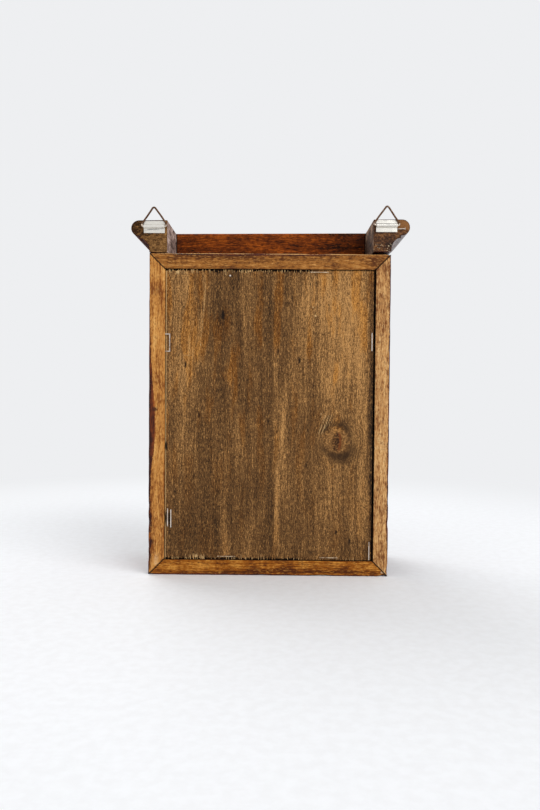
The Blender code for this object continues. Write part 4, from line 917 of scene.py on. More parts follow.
def board_traits(node, run, upright):
    """What the wood's finish reads at each vertex of a carcass board."""
    u, v, rim = run.u, run.v, RIM_WIDTHS[node]
    px, py = to_pixels(run.places)
    rows, widths = np.array(COAT_EDGES[node]).T
    coat_width = np.interp(py if upright else px, rows, widths)
    on_rim = rise(v, BACK_Y - 0.75, BACK_Y - 0.45) * (u < rim + 0.1)
    inside = ((u > BOARD_THICKNESS - 0.6) & (v < LEDGE_Y + 0.1)) | ((v > FRONT_Y + 1) & (u > rim + 0.2))
    varnish = np.where(on_rim > 0.5, coat_width - u, VARNISHED)
    varnish = np.where(inside | ((u > rim - 0.1) & (v > LEDGE_Y - 0.1)), BARE, varnish)
    patch = patches(run.places, (14, 9, 14), 31.0)
    # The rear arris painted pale: rubbing, and on the top board mostly a painted highlight
    worn = ARRIS_WEAR_AND_HIGHLIGHT[node] * run.by(0, BACK_Y, 0.35, 0.5) * (0.55 + 0.5 * patch)
    worn = worn + 0.6 * run.by(0, FRONT_Y, 0.3, 0.7) * rise(patch, 0.35, 0.9)
    worn = worn + 0.3 * run.by(rim, BACK_Y, 0.2, 0.4) * patch
    return {
        "varnish": varnish,
        "inside": inside,
        # painted shade on the rabbet's wall and ledge, in the gap beside the panel
        "hidden": (u > rim - 0.05) & (v > LEDGE_Y - 0.1) & (v < BACK_Y - 0.35),
        "shade": marks(run.places, RIM_SHADES[node]) * on_rim,
        "mitre": run.mitre(),
        "worn": worn,
        "stain_and_shadow": marks(run.places, RIM_STAINS[node]) * on_rim,
        "pale": marks(run.places, RIM_PALES[node]) * on_rim,
    }


def dent_depths(node, run):
    """How far dents and rubbing take the rear arris down at each vertex."""
    px, py = to_pixels(run.places)
    rubbed = 0.22 * (0.5 + ripple(run.places, (9, 5, 9), 7.0)) * run.by(0, BACK_Y, 0, 1.3)
    depths = np.clip(rubbed, 0, None)
    for x, y, reach, depth in ARRIS_DENTS[node]:
        along = near(np.hypot(px - x, py - y), 0, reach)
        depths += depth * along * run.by(0, BACK_Y, 0, 1.2 + depth)
    return depths


def make_board(node, edge, inward, along, half_length, gains=()):
    """A mitred carcass board whose outer rear arris starts at edge; gains are for hinge leaves."""
    outline = trace(board_corners(RIM_WIDTHS[node]))
    run = Run(outline, edge, (inward, BACK, along), half_length, (1, 1), 1.15, both_sides(gains))
    run.weather((24, 24, 24), 3.0, 0.05, 0.05, 0, dent_depths(node, run))
    traits = board_traits(node, run, along == UP)
    if gains:
        sunk_y = FRONT_Y + LEAF_SINK
        run.house(run.places[..., 1] < sunk_y, LEAF_ACROSS, gains, sunk_y)
    loft_piece(f"{node}_worn", run.places, node, "carcass", traits, node, outline)


def leaf_edges(kind, middle):
    """Heights above middle between which a hinge's leaves lie, as low, high, low, high."""
    edges = []
    for level in ("lower", "upper"):
        low, high = box_mm(f"hinge_leaf_{kind}_{level}")
        edges += [low.z - FIT_GAP - middle, high.z + FIT_GAP - middle]
    return edges


def carcass_boards():
    middle = BODY_HEIGHT / 2
    make_board("side_left", (-HALF_WIDTH, 0, middle), RIGHT, UP, middle, leaf_edges("carcass", middle))
    make_board("side_right", (HALF_WIDTH, 0, middle), LEFT, UP, middle)
    make_board("top_board", (0, 0, BODY_HEIGHT), DOWN, RIGHT, HALF_WIDTH)
    make_board("bottom_board", (0, 0, 0), UP, RIGHT, HALF_WIDTH)


# Back panel

# Lighter and darker places of the panel, as marks in the photograph; the two long thin strips darkened at px
# 371 are painted shadow that the rim casts on the panel
PANEL_ZONES = (
    (182, 320, 16, 60, 0.13), (182, 285, 18, 22, 0.07), (220, 300, 15, 46, -0.08), (214, 380, 12, 70, -0.03),
    (262, 300, 22, 70, -0.04), (278, 330, 16, 60, -0.07), (325, 300, 24, 46, 0.17), (352, 330, 18, 80, 0.16),
    (300, 345, 12, 50, 0.05), (240, 430, 50, 60, -0.04), (200, 470, 20, 70, -0.02), (255, 520, 40, 40, -0.05),
    (190, 530, 22, 34, -0.1), (340, 520, 30, 38, -0.02), (354, 395, 14, 40, 0.04), (362, 470, 8, 60, 0.06),
    (300, 500, 24, 40, 0.03), (184, 375, 14, 30, 0.08), (371, 330, 2.4, 120, -0.16),
    (371, 480, 1.8, 90, -0.16),
    (287, 395, 2.4, 14, 0.1), (284.5, 415, 2.4, 13, 0.12), (281.5, 435, 2.4, 13, 0.12),
    (279, 455, 2.4, 13, 0.12), (277.2, 475, 2.4, 13, 0.13), (276.6, 495, 2.4, 13, 0.15),
    (276.6, 515, 2.4, 13, 0.15), (276.4, 538, 2.6, 15, 0.15), (271, 495, 2, 55, -0.12),
    (205.5, 285, 1.1, 12, 0.09), (204, 303, 1.1, 12, 0.09), (202, 322, 1.1, 12, 0.09),
    (200, 341, 1.1, 12, 0.09), (198, 360, 1.1, 12, 0.1), (196, 380, 1.1, 13, 0.1), (355, 548, 18, 12, -0.1),
    (264, 540, 3, 16, -0.12),
    (222, 520, 3, 30, 0.06), (300, 270, 30, 4, -0.08), (232, 372, 5, 40, 0.04), (324, 378, 14, 30, 0.11),
    (184, 446, 14, 26, 0.07), (255, 446, 14, 26, 0.06), (218, 516, 12, 26, -0.06), (255, 518, 12, 26, 0.05),
    (184, 300, 16, 30, -0.03), (352, 516, 12, 26, 0.05), (358, 440, 9, 22, 0.03),
    (344.5, 441, 2.0, 5, 0.14), (330.5, 441, 2.0, 6, 0.1), (336, 431.5, 5, 1.6, 0.16), (326, 418, 5, 7, 0.06),
    (342, 412, 8, 5, 0.04),
)
PALE_ENDS = (
    (182, 270, 15, 5, 0.75), (244, 270, 16, 3.5, 0.45), (196, 556, 9, 4, 0.75), (285, 270, 25, 3, 0.35),
)
# Dark marks in the wood; the last two are painted shadows beside the wires of the two lower staples on the +X
# side
PANEL_PITS_AND_SHADOWS = (
    (185.5, 364.5, 1.3, 3.6, 1), (198.8, 414.8, 1.2, 3.2, 0.9), (221, 450, 1.3, 3.4, 0.6),
    (245, 400, 1.2, 3, 0.5), (288, 439, 1.3, 3.6, 0.6), (306, 465.5, 1.2, 3.2, 0.8), (282, 474, 1, 3, 0.5),
    (311, 492, 1.3, 2.6, 0.7), (363, 500, 1.2, 3.4, 0.5), (336, 532.5, 1.4, 3.4, 0.9),
    (349.5, 541, 1.4, 3.4, 0.85), (311, 552.5, 1.6, 2.4, 0.6), (223, 315, 1.9, 6, 1),
    (223.8, 334, 0.9, 14, 0.25), (166.3, 446, 1.5, 5, 1), (292, 298, 1.3, 3.6, 0.6),
    (316, 284, 1.2, 3.6, 0.5), (299.5, 360.5, 1.3, 4, 0.9), (278, 351, 1.1, 3.6, 0.8),
    (183, 328, 6, 1.4, 0.3), (302, 382, 1, 6, 0.4), (226, 278, 1, 8, 0.3), (169.6, 300, 0.8, 30, 0.25),
    (165.7, 518, 0.9, 7.5, 1), (169.3, 518.5, 0.9, 8, 1),
)
PANEL_NICKS = (
    *stroke((320, 435), (327.5, 415), 0.7, 0.75), *stroke((323.5, 433), (330.8, 414.5), 0.7, 0.75),
    *stroke((327, 428), (333.8, 415.5), 0.6, 0.65), (347.5, 434, 0.8, 5, 0.3), (336.4, 441, 0.8, 7, 0.4),
    (340.6, 447, 0.7, 4, 0.4), (334, 433.5, 1.8, 0.9, 0.35), (338, 451, 3, 0.9, 0.3),
)
PANEL_PALES = (
    (313, 307, 1.1, 1, 0.8), (315.5, 316, 1.3, 1.2, 0.9), (334, 469.5, 2.4, 1, 0.6), (187, 355, 9, 1, 0.5),
    (321, 414.5, 1.4, 1.4, 0.7), (231, 427, 1, 1.4, 0.5), (349, 498, 8, 0.8, 0.3), (226, 330, 9, 0.9, 0.2),
    (175, 352, 3, 1.2, 0.3), (236, 431, 0.8, 5, 0.35), (282, 424, 0.8, 4, 0.35), (262, 398, 4, 0.8, 0.3),
    (343.5, 429, 2, 1, 0.25), (333.5, 470, 2.2, 0.9, 0.4), (331.5, 464, 0.8, 2.6, 0.4),
    (337, 431, 2.6, 1, 0.35),
    *stroke((206.2, 282), (203.8, 310), 0.75, 0.5), *stroke((203.8, 310), (200.6, 345), 0.75, 0.46),
    *stroke((200.6, 345), (198.4, 372), 0.75, 0.36), *stroke((318.5, 434), (326, 414), 0.7, 0.66),
    *stroke((321.5, 434), (329, 415), 0.7, 0.66), *stroke((325, 429), (332.5, 414), 0.7, 0.66),
    *stroke((329, 426), (335, 416), 0.6, 0.6),
)
KNOT_SHADES = (
    (324, 450, 5, 4.5, 0.55), (331, 454, 5, 3.6, 0.5), (338, 456.5, 8, 4, 0.75), (346, 454.5, 5.5, 4.4, 0.75),
    (351, 448, 4, 5, 0.45), (341, 462, 14, 5, 0.45), (327, 429, 3.4, 3.6, 0.75), (333, 424.5, 5, 3, 0.6),
    (340, 424.5, 5, 3, 0.7), (346, 428.5, 4, 3.6, 0.75), (350, 435, 3.2, 5, 0.55), (352, 442, 3, 5, 0.3),
    (322, 442, 3, 9, 0.3), (356, 452, 6, 7, 0.35), (345, 419, 9, 6, 0.25), (223, 316, 5, 22, 0.3),
)
# Columns of the photograph over which the panel's top and lower ends turn from torn to whole
TOP_WHOLE_FROM = (306, 316)
LOW_WHOLE_FROM = (290, 310)
TORN_REACH = 5.0
KNOT_SPAN = 12.0


def torn_ends(x, from_end, seed):
    """How deeply the panel's end is torn: gaps of a fibre or two between standing fibres."""
    places = np.stack((x, np.full_like(x, seed), np.zeros_like(x)), axis=-1)
    fibre = ripple(places, (0.9, 1, 1), seed)
    wide = ripple(places, (11, 1, 1), seed + 3.0)
    reach = np.clip(0.9 + 2.6 * fibre + 1.5 * wide, 0.0, 4.2)
    return rise(reach - from_end, -0.15, 0.5)


def panel_grid():
    """Places over the panel's back, closer together at its ends and round the knot."""
    columns = np.linspace(PANEL_LOW_X, PANEL_HIGH_X, round((PANEL_HIGH_X - PANEL_LOW_X) / 0.48))
    end_rows = np.arange(0, TORN_REACH, 0.36)
    knot_rows = np.arange(KNOT[1] - KNOT_SPAN, KNOT[1] + KNOT_SPAN, 0.7)
    plain_rows = np.arange(PANEL_LOW_Z + TORN_REACH, PANEL_HIGH_Z - TORN_REACH, 1.5)
    plain_rows = plain_rows[np.abs(plain_rows - KNOT[1]) > KNOT_SPAN + 0.5]
    rows = sorted([*(PANEL_LOW_Z + end_rows), *(PANEL_HIGH_Z - end_rows), *knot_rows, *plain_rows])
    x, z = np.meshgrid(columns, rows)
    return np.stack((x, np.full_like(x, PANEL_HIGH.y), z), axis=-1)


def back_panel():
    """The panel as a fine sheet at the back with torn ends, closed by a plain front."""
    places = panel_grid()
    x, z = places[..., 0], places[..., 2]
    from_top, from_low = PANEL_HIGH_Z - z, z - PANEL_LOW_Z
    px = to_pixels(places)[0]
    top_whole = rise(px, *TOP_WHOLE_FROM)
    top_tears = torn_ends(x, from_top, 23.0) * (1 - 0.9 * top_whole)
    low_tears = torn_ends(x, from_low, 11.0) * (0.9 - 0.6 * rise(px, *LOW_WHOLE_FROM))
    torn = np.maximum(top_tears, low_tears)
    pits_and_shadows = np.clip(marks(places, PANEL_PITS_AND_SHADOWS), 0, 1)
    from_knot = np.hypot(x - KNOT[0], (z - KNOT[1]) * KNOT_SQUAT)
    groove = 0.15 * near(from_knot, KNOT_REACH, 1.0)
    swell = 0.125 * near(from_knot, 0, KNOT_REACH * 0.9)
    fibres = 0.5 * ripple(places, (0.8, 1, 16), 3.0) + 0.5 * ripple(places, (2.6, 1, 60), 9.0)
    depth = 0.14 + 0.09 * fibres + 0.75 * torn + 0.35 * pits_and_shadows + groove - swell
    places[..., 1] -= np.clip(depth, 0.02, 1.1)

    # Painted shadow that the rim casts on the panel beside its gap, and a painted highlight along the panel's
    # lit edge
    rim_shadow = np.exp(-(x - PANEL_LOW_X) / 1.6)
    lit_edge = 0.95 * np.exp(-(PANEL_HIGH_X - x) / 0.55)
    stubs = ripple(places, (0.7, 1, 9), 41.0)
    end_pale = np.exp(-np.minimum(from_low, from_top) / 1.8) * rise(stubs, 0.05, 0.45) * (1 - 0.7 * top_whole)
    end_pale = (end_pale + marks(places, PALE_ENDS) * rise(stubs, -0.15, 0.3)) * (1 - torn)
    traits = {
        "tone": marks(places, PANEL_ZONES) - 0.14 * rim_shadow,
        "shade": marks(places, KNOT_SHADES),
        "dark": pits_and_shadows + 0.95 * torn + marks(places, PANEL_NICKS) + 0.22 * rim_shadow,
        "pale": marks(places, PANEL_PALES) + lit_edge + 0.8 * end_pale,
    }
    faces, places, traits = closed_sheet(places, PANEL_LOW.y, traits)
    make_piece("back_panel_worn", places, faces, "panel", "carcass", traits, ["back_panel"])


# Where the panel's ends are splintered in the photograph: columns, and how many splinters
SPLINTERS_TOP = ((168, 197, 17), (197, 224, 8), (224, 262, 22), (262, 312, 16), (340, 372, 5))
SPLINTERS_BOTTOM = ((168, 186, 5), (186, 206, 15), (206, 245, 10), (245, 300, 10), (330, 368, 4))
PANEL_MIDDLE_PY = 410
TIP_SHARE = 0.65
SPLINTER_FACES = ((0, 1, 4, 3), (1, 2, 5, 4), (2, 0, 3, 5), (0, 2, 1), (3, 4, 5))


def splinter(draw, x, z, up, length):
    """One sliver: a thin three-sided spike that lies along the panel's face."""
    lean = draw.uniform(-0.16, 0.16)
    half = draw.uniform(0.3, 0.55)
    y = PANEL_HIGH.y - 0.2
    low = z - up * length
    root = [(x - half, y - 0.25, low), (x + half, y - 0.25, low), (x, y + draw.uniform(0.05, 0.14), low)]
    tip_x = x + lean * length
    tip = []
    for root_x, root_y, _ in root:
        tip_y = root_y + draw.uniform(0, 0.12)
        tip_z = z + up * draw.uniform(0, 0.3)
        tip.append((root_x * (1 - TIP_SHARE) + tip_x * TIP_SHARE, tip_y, tip_z))
    return root + tip


def splinters(name, spans, row_z, up, seed):
    draw = random.Random(seed)
    places = []
    for start, end, count in spans:
        for _ in range(count):
            x = on_plane(draw.uniform(start, end), PANEL_MIDDLE_PY, PANEL_HIGH.y)[0]
            places += splinter(draw, x, row_z, up, draw.uniform(1.4, 4.2))
    faces = []
    for base in range(0, len(places), 6):
        faces += [[base + corner for corner in face] for face in SPLINTER_FACES]
    pale = np.repeat([draw.uniform(0.5, 1.0) for _ in range(len(places) // 6)], 6)
    make_piece(name, places, faces, "panel", "carcass", {"pale": pale})


# Crown

# Painted shadow on the front run's tray side: at both ends, where the returns shade it, and along its foot
# over the top board
FRONT_RUN_SHADOWS = (
    (178, 243, 6, 10, 0.5), (362, 244, 12, 12, 0.5), (395, 244, 20, 14, 0.6), (270, 252.5, 90, 1.0, 0.3),
)
# Painted light on the same face: a lighter middle, darker ends and a lit line along its top
FRONT_RUN_LIGHT = (
    (285, 243, 45, 10, 0.12), (340, 243, 22, 14, -0.2), (190, 243, 14, 14, -0.1), (250, 236, 90, 1.5, 0.12),
)
# Painted shadows that the saddles cast on the returns' ends, on the +X side of each saddle
RETURN_SADDLE_SHADOWS = ((143, 229, 2.2, 4, 1.0), (374, 236, 3, 10, 0.3))
RETURN_SHADES = (
    (137, 227, 7, 9, -0.36), (404, 229, 6, 7, 0.54), (152, 242, 8, 8, 0.02), (392, 249, 7, 4, -0.2),
    (379, 240, 3, 10, -0.14), (386, 238, 8, 2.4, 0.1),
)
RETURN_PALES = (
    (382, 244, 2.2, 0.9, 0.8), (384, 245.5, 1.2, 1.0, 0.7), (386.5, 247.5, 0.9, 0.9, 0.6),
    (381, 248, 0.8, 1.6, 0.5), (390, 237, 4, 0.6, 0.4), (147, 245, 2, 3, 0.3),
)
# The back ends of the returns, as rings inside each other: step inward, and how far it lies in
END_INSETS = ((0.2, 0.07), (0.3, 0.1))


def crown_lift(places, loose=0.0):
    """Leans the crown's top up towards the photograph's right; loose lifts its foot towards the back."""
    height = np.clip((places[..., 2] - CROWN_LOW_Z) / CROWN_HEIGHT, 0, 1)
    across = (HALF_WIDTH - places[..., 0]) / (2 * HALF_WIDTH)
    back = np.clip((places[..., 1] - FRONT_Y) / (BACK_Y - FRONT_Y), 0, 1)
    places[..., 2] += CROWN_TILT * across * height + loose * back * (1 - height)


def crown_outline(spacing):
    """The crown's section: foot, cove, fillet, nose and a flat top; spacing is the flats'."""
    cove = arc_corners((COVE_WIDTH, CROWN_FOOT), (COVE_WIDTH, COVE_HEIGHT), math.pi, QUARTER, 12)
    nose = (NOSE_OUT, CROWN_HEIGHT - NOSE_RADIUS)
    return trace([
        (-CROWN_BASE, 0, 0.2, spacing),
        (0, 0, 0.15, 1.0),
        (0, CROWN_FOOT, 0, 9.0),
        *cove[1:-1],
        (*cove[-1][:2], 0.12, 1.0),
        (COVE_WIDTH, CROWN_FOOT + COVE_HEIGHT + FILLET_HEIGHT, 0.12, 9.0),
        *arc_corners(nose, NOSE_RADIUS, NOSE_START, QUARTER, 20)[:-1],
        (NOSE_OUT, CROWN_HEIGHT, 0, 1.4),
        (-CROWN_BASE, CROWN_HEIGHT, 0.6, spacing),
    ])


def tray_side(run):
    """Where the crown faces the tray behind it."""
    return run.u < -CROWN_BASE + 0.3


def crown_traits(run):
    """The moulded side keeps its varnish; the tray's side shows wood."""
    patch = patches(run.places, (16, 16, 12), 57.0)
    top = (run.v > CROWN_HEIGHT - 0.2) & (run.u < NOSE_OUT)
    nose_rub = run.by(NOSE_OUT, CROWN_HEIGHT - NOSE_RADIUS, NOSE_RADIUS, 0.4)
    worn = 0.55 * nose_rub * rise(patch, 0.75, 1.2)
    worn = worn + 0.7 * run.by(-CROWN_BASE, CROWN_HEIGHT, 0.2, 0.5) * patch
    worn = worn + 0.5 * run.by(COVE_WIDTH, CROWN_FOOT + COVE_HEIGHT, 0, 0.5) * rise(patch, 0.5, 1.0)
    varnish = np.where(top, 1.6 - 1.5 * rise(patch, 0.5, 1.1), VARNISHED)
    return {"varnish": np.where(tray_side(run), BARE, varnish), "worn": worn}


def crown_front():
    outline = crown_outline(1.3)
    origin = (0, FRONT_Y, CROWN_LOW_Z)
    run = Run(outline, origin, (FRONT, UP, RIGHT), HALF_WIDTH, (-1, -1), 1.6)
    traits = crown_traits(run)
    traits["mitre"] = run.mitre()
    # painted shadow and painted light on the tray side
    traits["stain_and_shadow"] = marks(run.places, FRONT_RUN_SHADOWS) * tray_side(run)
    traits["shade"] = marks(run.places, FRONT_RUN_LIGHT) * tray_side(run)
    run.weather((20, 20, 14), 5.0, 0.07, 0.06, 0.04)
    crown_lift(run.places)
    loft_piece(
        "crown_front_worn", run.places, "crown_front", "carcass", traits, "crown_front", outline
    )


def crown_return(name, side):
    """An end run, whose square back end shows its grain and a rubbed edge."""
    outline = crown_outline(1.6)
    origin = (side * HALF_WIDTH, 0, CROWN_LOW_Z)
    run = Run(outline, origin, ((side, 0, 0), UP, BACK), BACK_Y, (-1, 0), 1.6)
    traits = crown_traits(run)
    traits["inside"] = tray_side(run).astype(float)
    traits["mitre"] = run.mitre(run.from_low)
    run.weather((14, 20, 14), 5.0 + side, 0.07, 0.06, 0.04)
    rows = [run.places]
    inset = 0.0
    for step, sunk in END_INSETS:
        inset += step
        ring = run.places[-1] - run.normals * inset
        ring[:, 1] = BACK_Y - sunk + 0.12 * ripple(ring, (2.4, 1, 1.2), 70.0 + inset)
        rows.append(ring[None])
    places = np.concatenate(rows)
    count = len(END_INSETS)
    for trait, values in traits.items():
        traits[trait] = np.pad(values, ((0, count), (0, 0)), mode="edge")
    end = np.zeros(places.shape[:2])
    end[-count:] = 1.0
    traits["end"] = end
    traits["varnish"][-count:] = np.array([[0.1], [BARE]])
    traits["inside"][-count:] = 0.0
    # the saddles' painted shadows, pale marks and shades on the end
    for trait, spots in (("stain_and_shadow", RETURN_SADDLE_SHADOWS), ("pale", RETURN_PALES), ("shade", RETURN_SHADES)):
        traits[trait] = marks(places, spots) * end
    traits["hidden"] = np.zeros(end.shape)
    traits["hidden"][-count] = 0.55
    crown_lift(places, RETURN_LOOSE if side < 0 else 0.0)
    loft_piece(f"{name}_worn", places, name, "carcass", traits, name, outline)


# Hangers

# Painted light on the saddles: lighter bands of painted highlight, and darker lines of painted shade along
# the fold
SADDLE_PAINTED_LIGHT = (
    (158, 229.2, 7, 0.8, -0.32), (150, 231.5, 4, 0.7, -0.12), (155, 224.5, 12, 2.6, 0.25),
    (155, 233, 12, 1.6, 0.2), (386, 223.8, 11, 0.9, -0.6), (392, 225.5, 6, 0.8, -0.3),
    (386, 229, 12, 2.4, 0.25), (386, 220.6, 12, 0.8, -0.3),
)
RING_WIRE = 0.65
RING_BEND = 1.2
SADDLE_SHEET = 0.5


def saddle(name, side):
    """A folded sheet with soft dents, wrapped round the ring's base wire."""
    node = f"hanger_saddle_{name}"
    low, high = box_mm(node)
    ring_low, ring_high = box_mm(f"hanger_ring_{name}")
    axis_y, axis_z = ring_high.y - RING_WIRE, ring_low.z + RING_WIRE
    inside = RING_WIRE + FIT_GAP
    outside = inside + SADDLE_SHEET
    flange_in = BACK_Y + FIT_GAP - axis_y
    flange_out = flange_in + SADDLE_SHEET
    bottom, top = low.z - axis_z, high.z - axis_z
    outline = trace([
        (flange_in, bottom, 0.1, 0.8),
        (flange_in, -inside, 0, 0.8),
        *arc_corners((0, 0), inside, -QUARTER, QUARTER, 12),
        (flange_in, inside, 0, 0.8),
        (flange_in, top, 0.1, 0.8),
        (flange_out, top, 0.12, 0.8),
        (flange_out, outside, 0, 0.8),
        *arc_corners((0, 0), outside, QUARTER, -QUARTER, 12),
        (flange_out, -outside, 0, 0.8),
        (flange_out, bottom, 0.12, 0.8),
    ])
    origin = ((low.x + high.x) / 2, axis_y, axis_z)
    run = Run(outline, origin, (BACK, UP, RIGHT), (high.x - low.x) / 2, (0, 0), 0.7)
    dents = 0.12 * ripple(run.places, (5, 3, 2.2), 80.0 + side)
    dents = dents + 0.1 * ripple(run.places, (14, 3, 1.1), 90.0 + side)
    flange = rise(np.abs(run.v), outside, outside + 1.0)
    run.places[..., 1] -= np.clip(dents + 0.08, 0, 0.12) * (0.4 + 0.6 * flange)
    # painted highlight and painted shade
    traits = {"shade": marks(run.places, SADDLE_PAINTED_LIGHT)}
    loft_piece(f"{node}_folded", run.places, "tin", "carcass", traits, node, outline)


def hanger_ring(name, skew):
    """A bent triangle of wire that stands in its saddle; skew leans its apex a little."""
    node = f"hanger_ring_{name}"
    low, high = box_mm(node)
    centre_x, y = (low.x + high.x) / 2, (low.y + high.y) / 2
    half_base = (high.x - low.x) / 2 - RING_BEND - RING_WIRE
    apex = high.z - low.z - 2 * RING_BEND - 2 * RING_WIRE
    slope = math.atan2(apex, half_base)
    centres = ((half_base, RING_BEND), (0, RING_BEND + apex), (-half_base, RING_BEND))
    turns = (-QUARTER, QUARTER - slope, QUARTER + slope, 3 * QUARTER)
    corners = []
    for centre, start, end in zip(centres, turns, turns[1:]):
        corners += arc_corners(centre, RING_BEND, start, end, 10, 0.9)
    path = []
    for u, v in trace(corners):
        sway = 0.18 * math.sin(v * 0.5 + skew) * min(1.0, v / 4)
        path.append((centre_x + u + sway * 0.6, y, low.z + RING_WIRE + v))
    # Brighter at the bends round the saddle: rubbed bright, and a painted highlight
    base = 0.66 * (1 - rise(np.array(path)[:, 2] - low.z, 1.0, 2.8))
    tube_piece(f"{node}_wire", path, RING_WIRE, 16, "wire", f"ring_{name}", node, True, base)


# Door

DOOR_CORNERS = (
    (STILE_WIDTH, 0, 0.3, 1.2),
    (STILE_WIDTH, -GROOVE_LIP, 0, 2.5),
    (STILE_WIDTH - GROOVE_DEPTH, -GROOVE_LIP, 0, 2.0),
    (STILE_WIDTH - GROOVE_DEPTH, -GROOVE_LIP - GROOVE_WIDTH, 0, 2.5),
    (STILE_WIDTH, -GROOVE_LIP - GROOVE_WIDTH, 0, 0.6),
)
FLUSH_SINK = 0.06


def door_outline(breaks):
    centre = (STILE_WIDTH - OVOLO_WIDTH, OVOLO_DEPTH - DOOR_THICKNESS)
    return trace([
        (0, 0, 0.4, 2.4),
        *((u, 0, 0, 1.6) for u in breaks),
        *DOOR_CORNERS,
        *arc_corners(centre, (OVOLO_WIDTH, OVOLO_DEPTH), 0, -QUARTER, 14)[:-1],
        (STILE_WIDTH - OVOLO_WIDTH, -DOOR_THICKNESS, 0, 0.9),
        (0, -DOOR_THICKNESS, 0.9, 0.9),
    ])


def door_traits(run):
    patch = patches(run.places, (11, 11, 13), 97.0)
    worn = 0.75 * run.by(0, -DOOR_THICKNESS, 0.3, 0.8) * rise(patch, 0.3, 0.95)
    worn = worn + 0.6 * run.by(STILE_WIDTH - OVOLO_WIDTH, -DOOR_THICKNESS, 0, 0.7) * rise(patch, 0.6, 1.1)
    worn = worn + 0.5 * run.by(0, 0, 0.2, 0.7) * patch
    return {
        "varnish": 2.4 - 2.6 * worn,
        "mitre": run.mitre() * 0.8,
        "worn": worn,
        "stain_and_shadow": 0.2 * rise(ripple(run.places, (9, 9, 16), 61.0), 0.25, 0.7),
    }


def door_member(node, look, edge, inward, along, half_length, housing=((), (), 0)):
    """A mitred door member; housing is (across, spans, depth) of what is let into its back."""
    across, spans, depth = housing
    outline = door_outline(both_sides(u for u in across if u > 0))
    run = Run(outline, edge, (inward, BACK, along), half_length, (1, 1), 1.6, both_sides(spans))
    traits = door_traits(run)
    run.weather((18, 18, 18), 13.0, FLUSH_SINK, 0.04, FLUSH_SINK)
    if spans:
        run.house(run.v > -0.5, across, spans, DOOR_BACK_Y - depth)
    loft_piece(f"{node}_worn", run.places, look, "door", traits, node, outline)


def door():
    middle = (DOOR_LOW_Z + DOOR_HIGH_Z) / 2
    half = (DOOR_HIGH_Z - DOOR_LOW_Z) / 2
    left, right = (-HALF_WIDTH, DOOR_BACK_Y, middle), (HALF_WIDTH, DOOR_BACK_Y, middle)
    low, high = box_mm("strike_plate")
    across = (HALF_WIDTH - high.x - FIT_GAP, HALF_WIDTH - low.x + FIT_GAP)
    plate = (low.z - FIT_GAP - middle, high.z + FIT_GAP - middle)
    strike = (across, plate, high.y - low.y + FIT_GAP)
    leaves = (LEAF_ACROSS, leaf_edges("door", middle), LEAF_SINK)
    door_member("door_stile_left", "door_stile", left, RIGHT, UP, half, leaves)
    door_member("door_stile_right", "door_stile", right, LEFT, UP, half, strike)
    door_member("door_rail_top", "door_rail", (0, DOOR_BACK_Y, DOOR_HIGH_Z), DOWN, RIGHT, HALF_WIDTH)
    door_member("door_rail_bottom", "door_rail", (0, DOOR_BACK_Y, DOOR_LOW_Z), UP, RIGHT, HALF_WIDTH)


def field_lines(start, end):
    """Places of the fielded panel's grid lines across one of its directions."""
    field = TONGUE + FIELD_MARGIN
    steps = [0, TONGUE, TONGUE + 0.01, field, field + 0.15]
    steps += [TONGUE + FIELD_MARGIN * i / 12 for i in range(1, 12)]
    lines = {round(place, 3) for step in steps for place in (start + step, end - step)}
    lines |= {round(place, 3) for place in np.arange(start + field + 0.6, end - field - 0.6, 1.8)}
    return sorted(lines)


def door_panel():
    """The fielded panel: a flat tongue, a sloping margin and a raised field."""
    low, high = box_mm("door_panel")
    x, z = np.meshgrid(field_lines(low.x, high.x), field_lines(low.z, high.z))
    from_edge = np.minimum.reduce((x - low.x, high.x - x, z - low.z, high.z - z))
    field = TONGUE + FIELD_MARGIN
    slope = np.clip((from_edge - TONGUE) / FIELD_MARGIN, 0, 1) * FIELD_SLOPE_RISE
    step = rise(from_edge, field - 0.01, field + 0.16) * FIELD_STEP
    tongue_y = low.y + FIELD_SLOPE_RISE + FIELD_STEP
    places = np.stack((x, tongue_y - slope - step, z), axis=-1)
    places[..., 1] += 0.03 + 0.03 * ripple(places, (22, 22, 30), 17.0)
    patch = patches(places, (12, 12, 16), 47.0)
    arris = near(from_edge, field + 0.15, 0.5)
    traits = {
        "varnish": 2.4 - 2.2 * arris * rise(patch, 0.5, 1.1),
        "worn": 0.7 * arris * rise(patch, 0.45, 1.0),
        # Darker along the tongue's edge and at the foot of the field's step
        "stain_and_shadow": 0.5 * near(from_edge, TONGUE, 2.0) + 0.3 * near(from_edge, field - 0.3, 0.9),
    }
    faces, places, traits = closed_sheet(places, high.y, traits, 2.4)
    make_piece("door_panel_worn", places, faces, "door_stile", "door", traits, ["door_panel"])


# Turned and bent fittings

KNOB_SIDES = 64
KNOB_BASE = 5.6
KNOB_BASE_THICKNESS = 1.6
KNOB_CHAMFER = 0.15
KNOB_NECK = 2.7
KNOB_HOLLOW = 0.8
KNOB_BALL_RISE = 4.756

HOOK_WIRE = 0.9
HOOK_BEND = 1.5
HOOK_BOWL = 5.2
HOOK_TIP_ANGLE = math.radians(42)
# A hook's screw, collar and neck: distance out of the rail, radius
HOOK_COLLAR = ((-4.0, 0.63), (0, 0.9), (0.02, 2.35), (0.15, 2.5), (0.55, 2.425), (0.8, 2.0), (0.9, 0.99))
HOOK_NECK = 2.5
# The radii of the bead at a hook's tip
HOOK_TIP = (1.035, 1.25, 0.875)


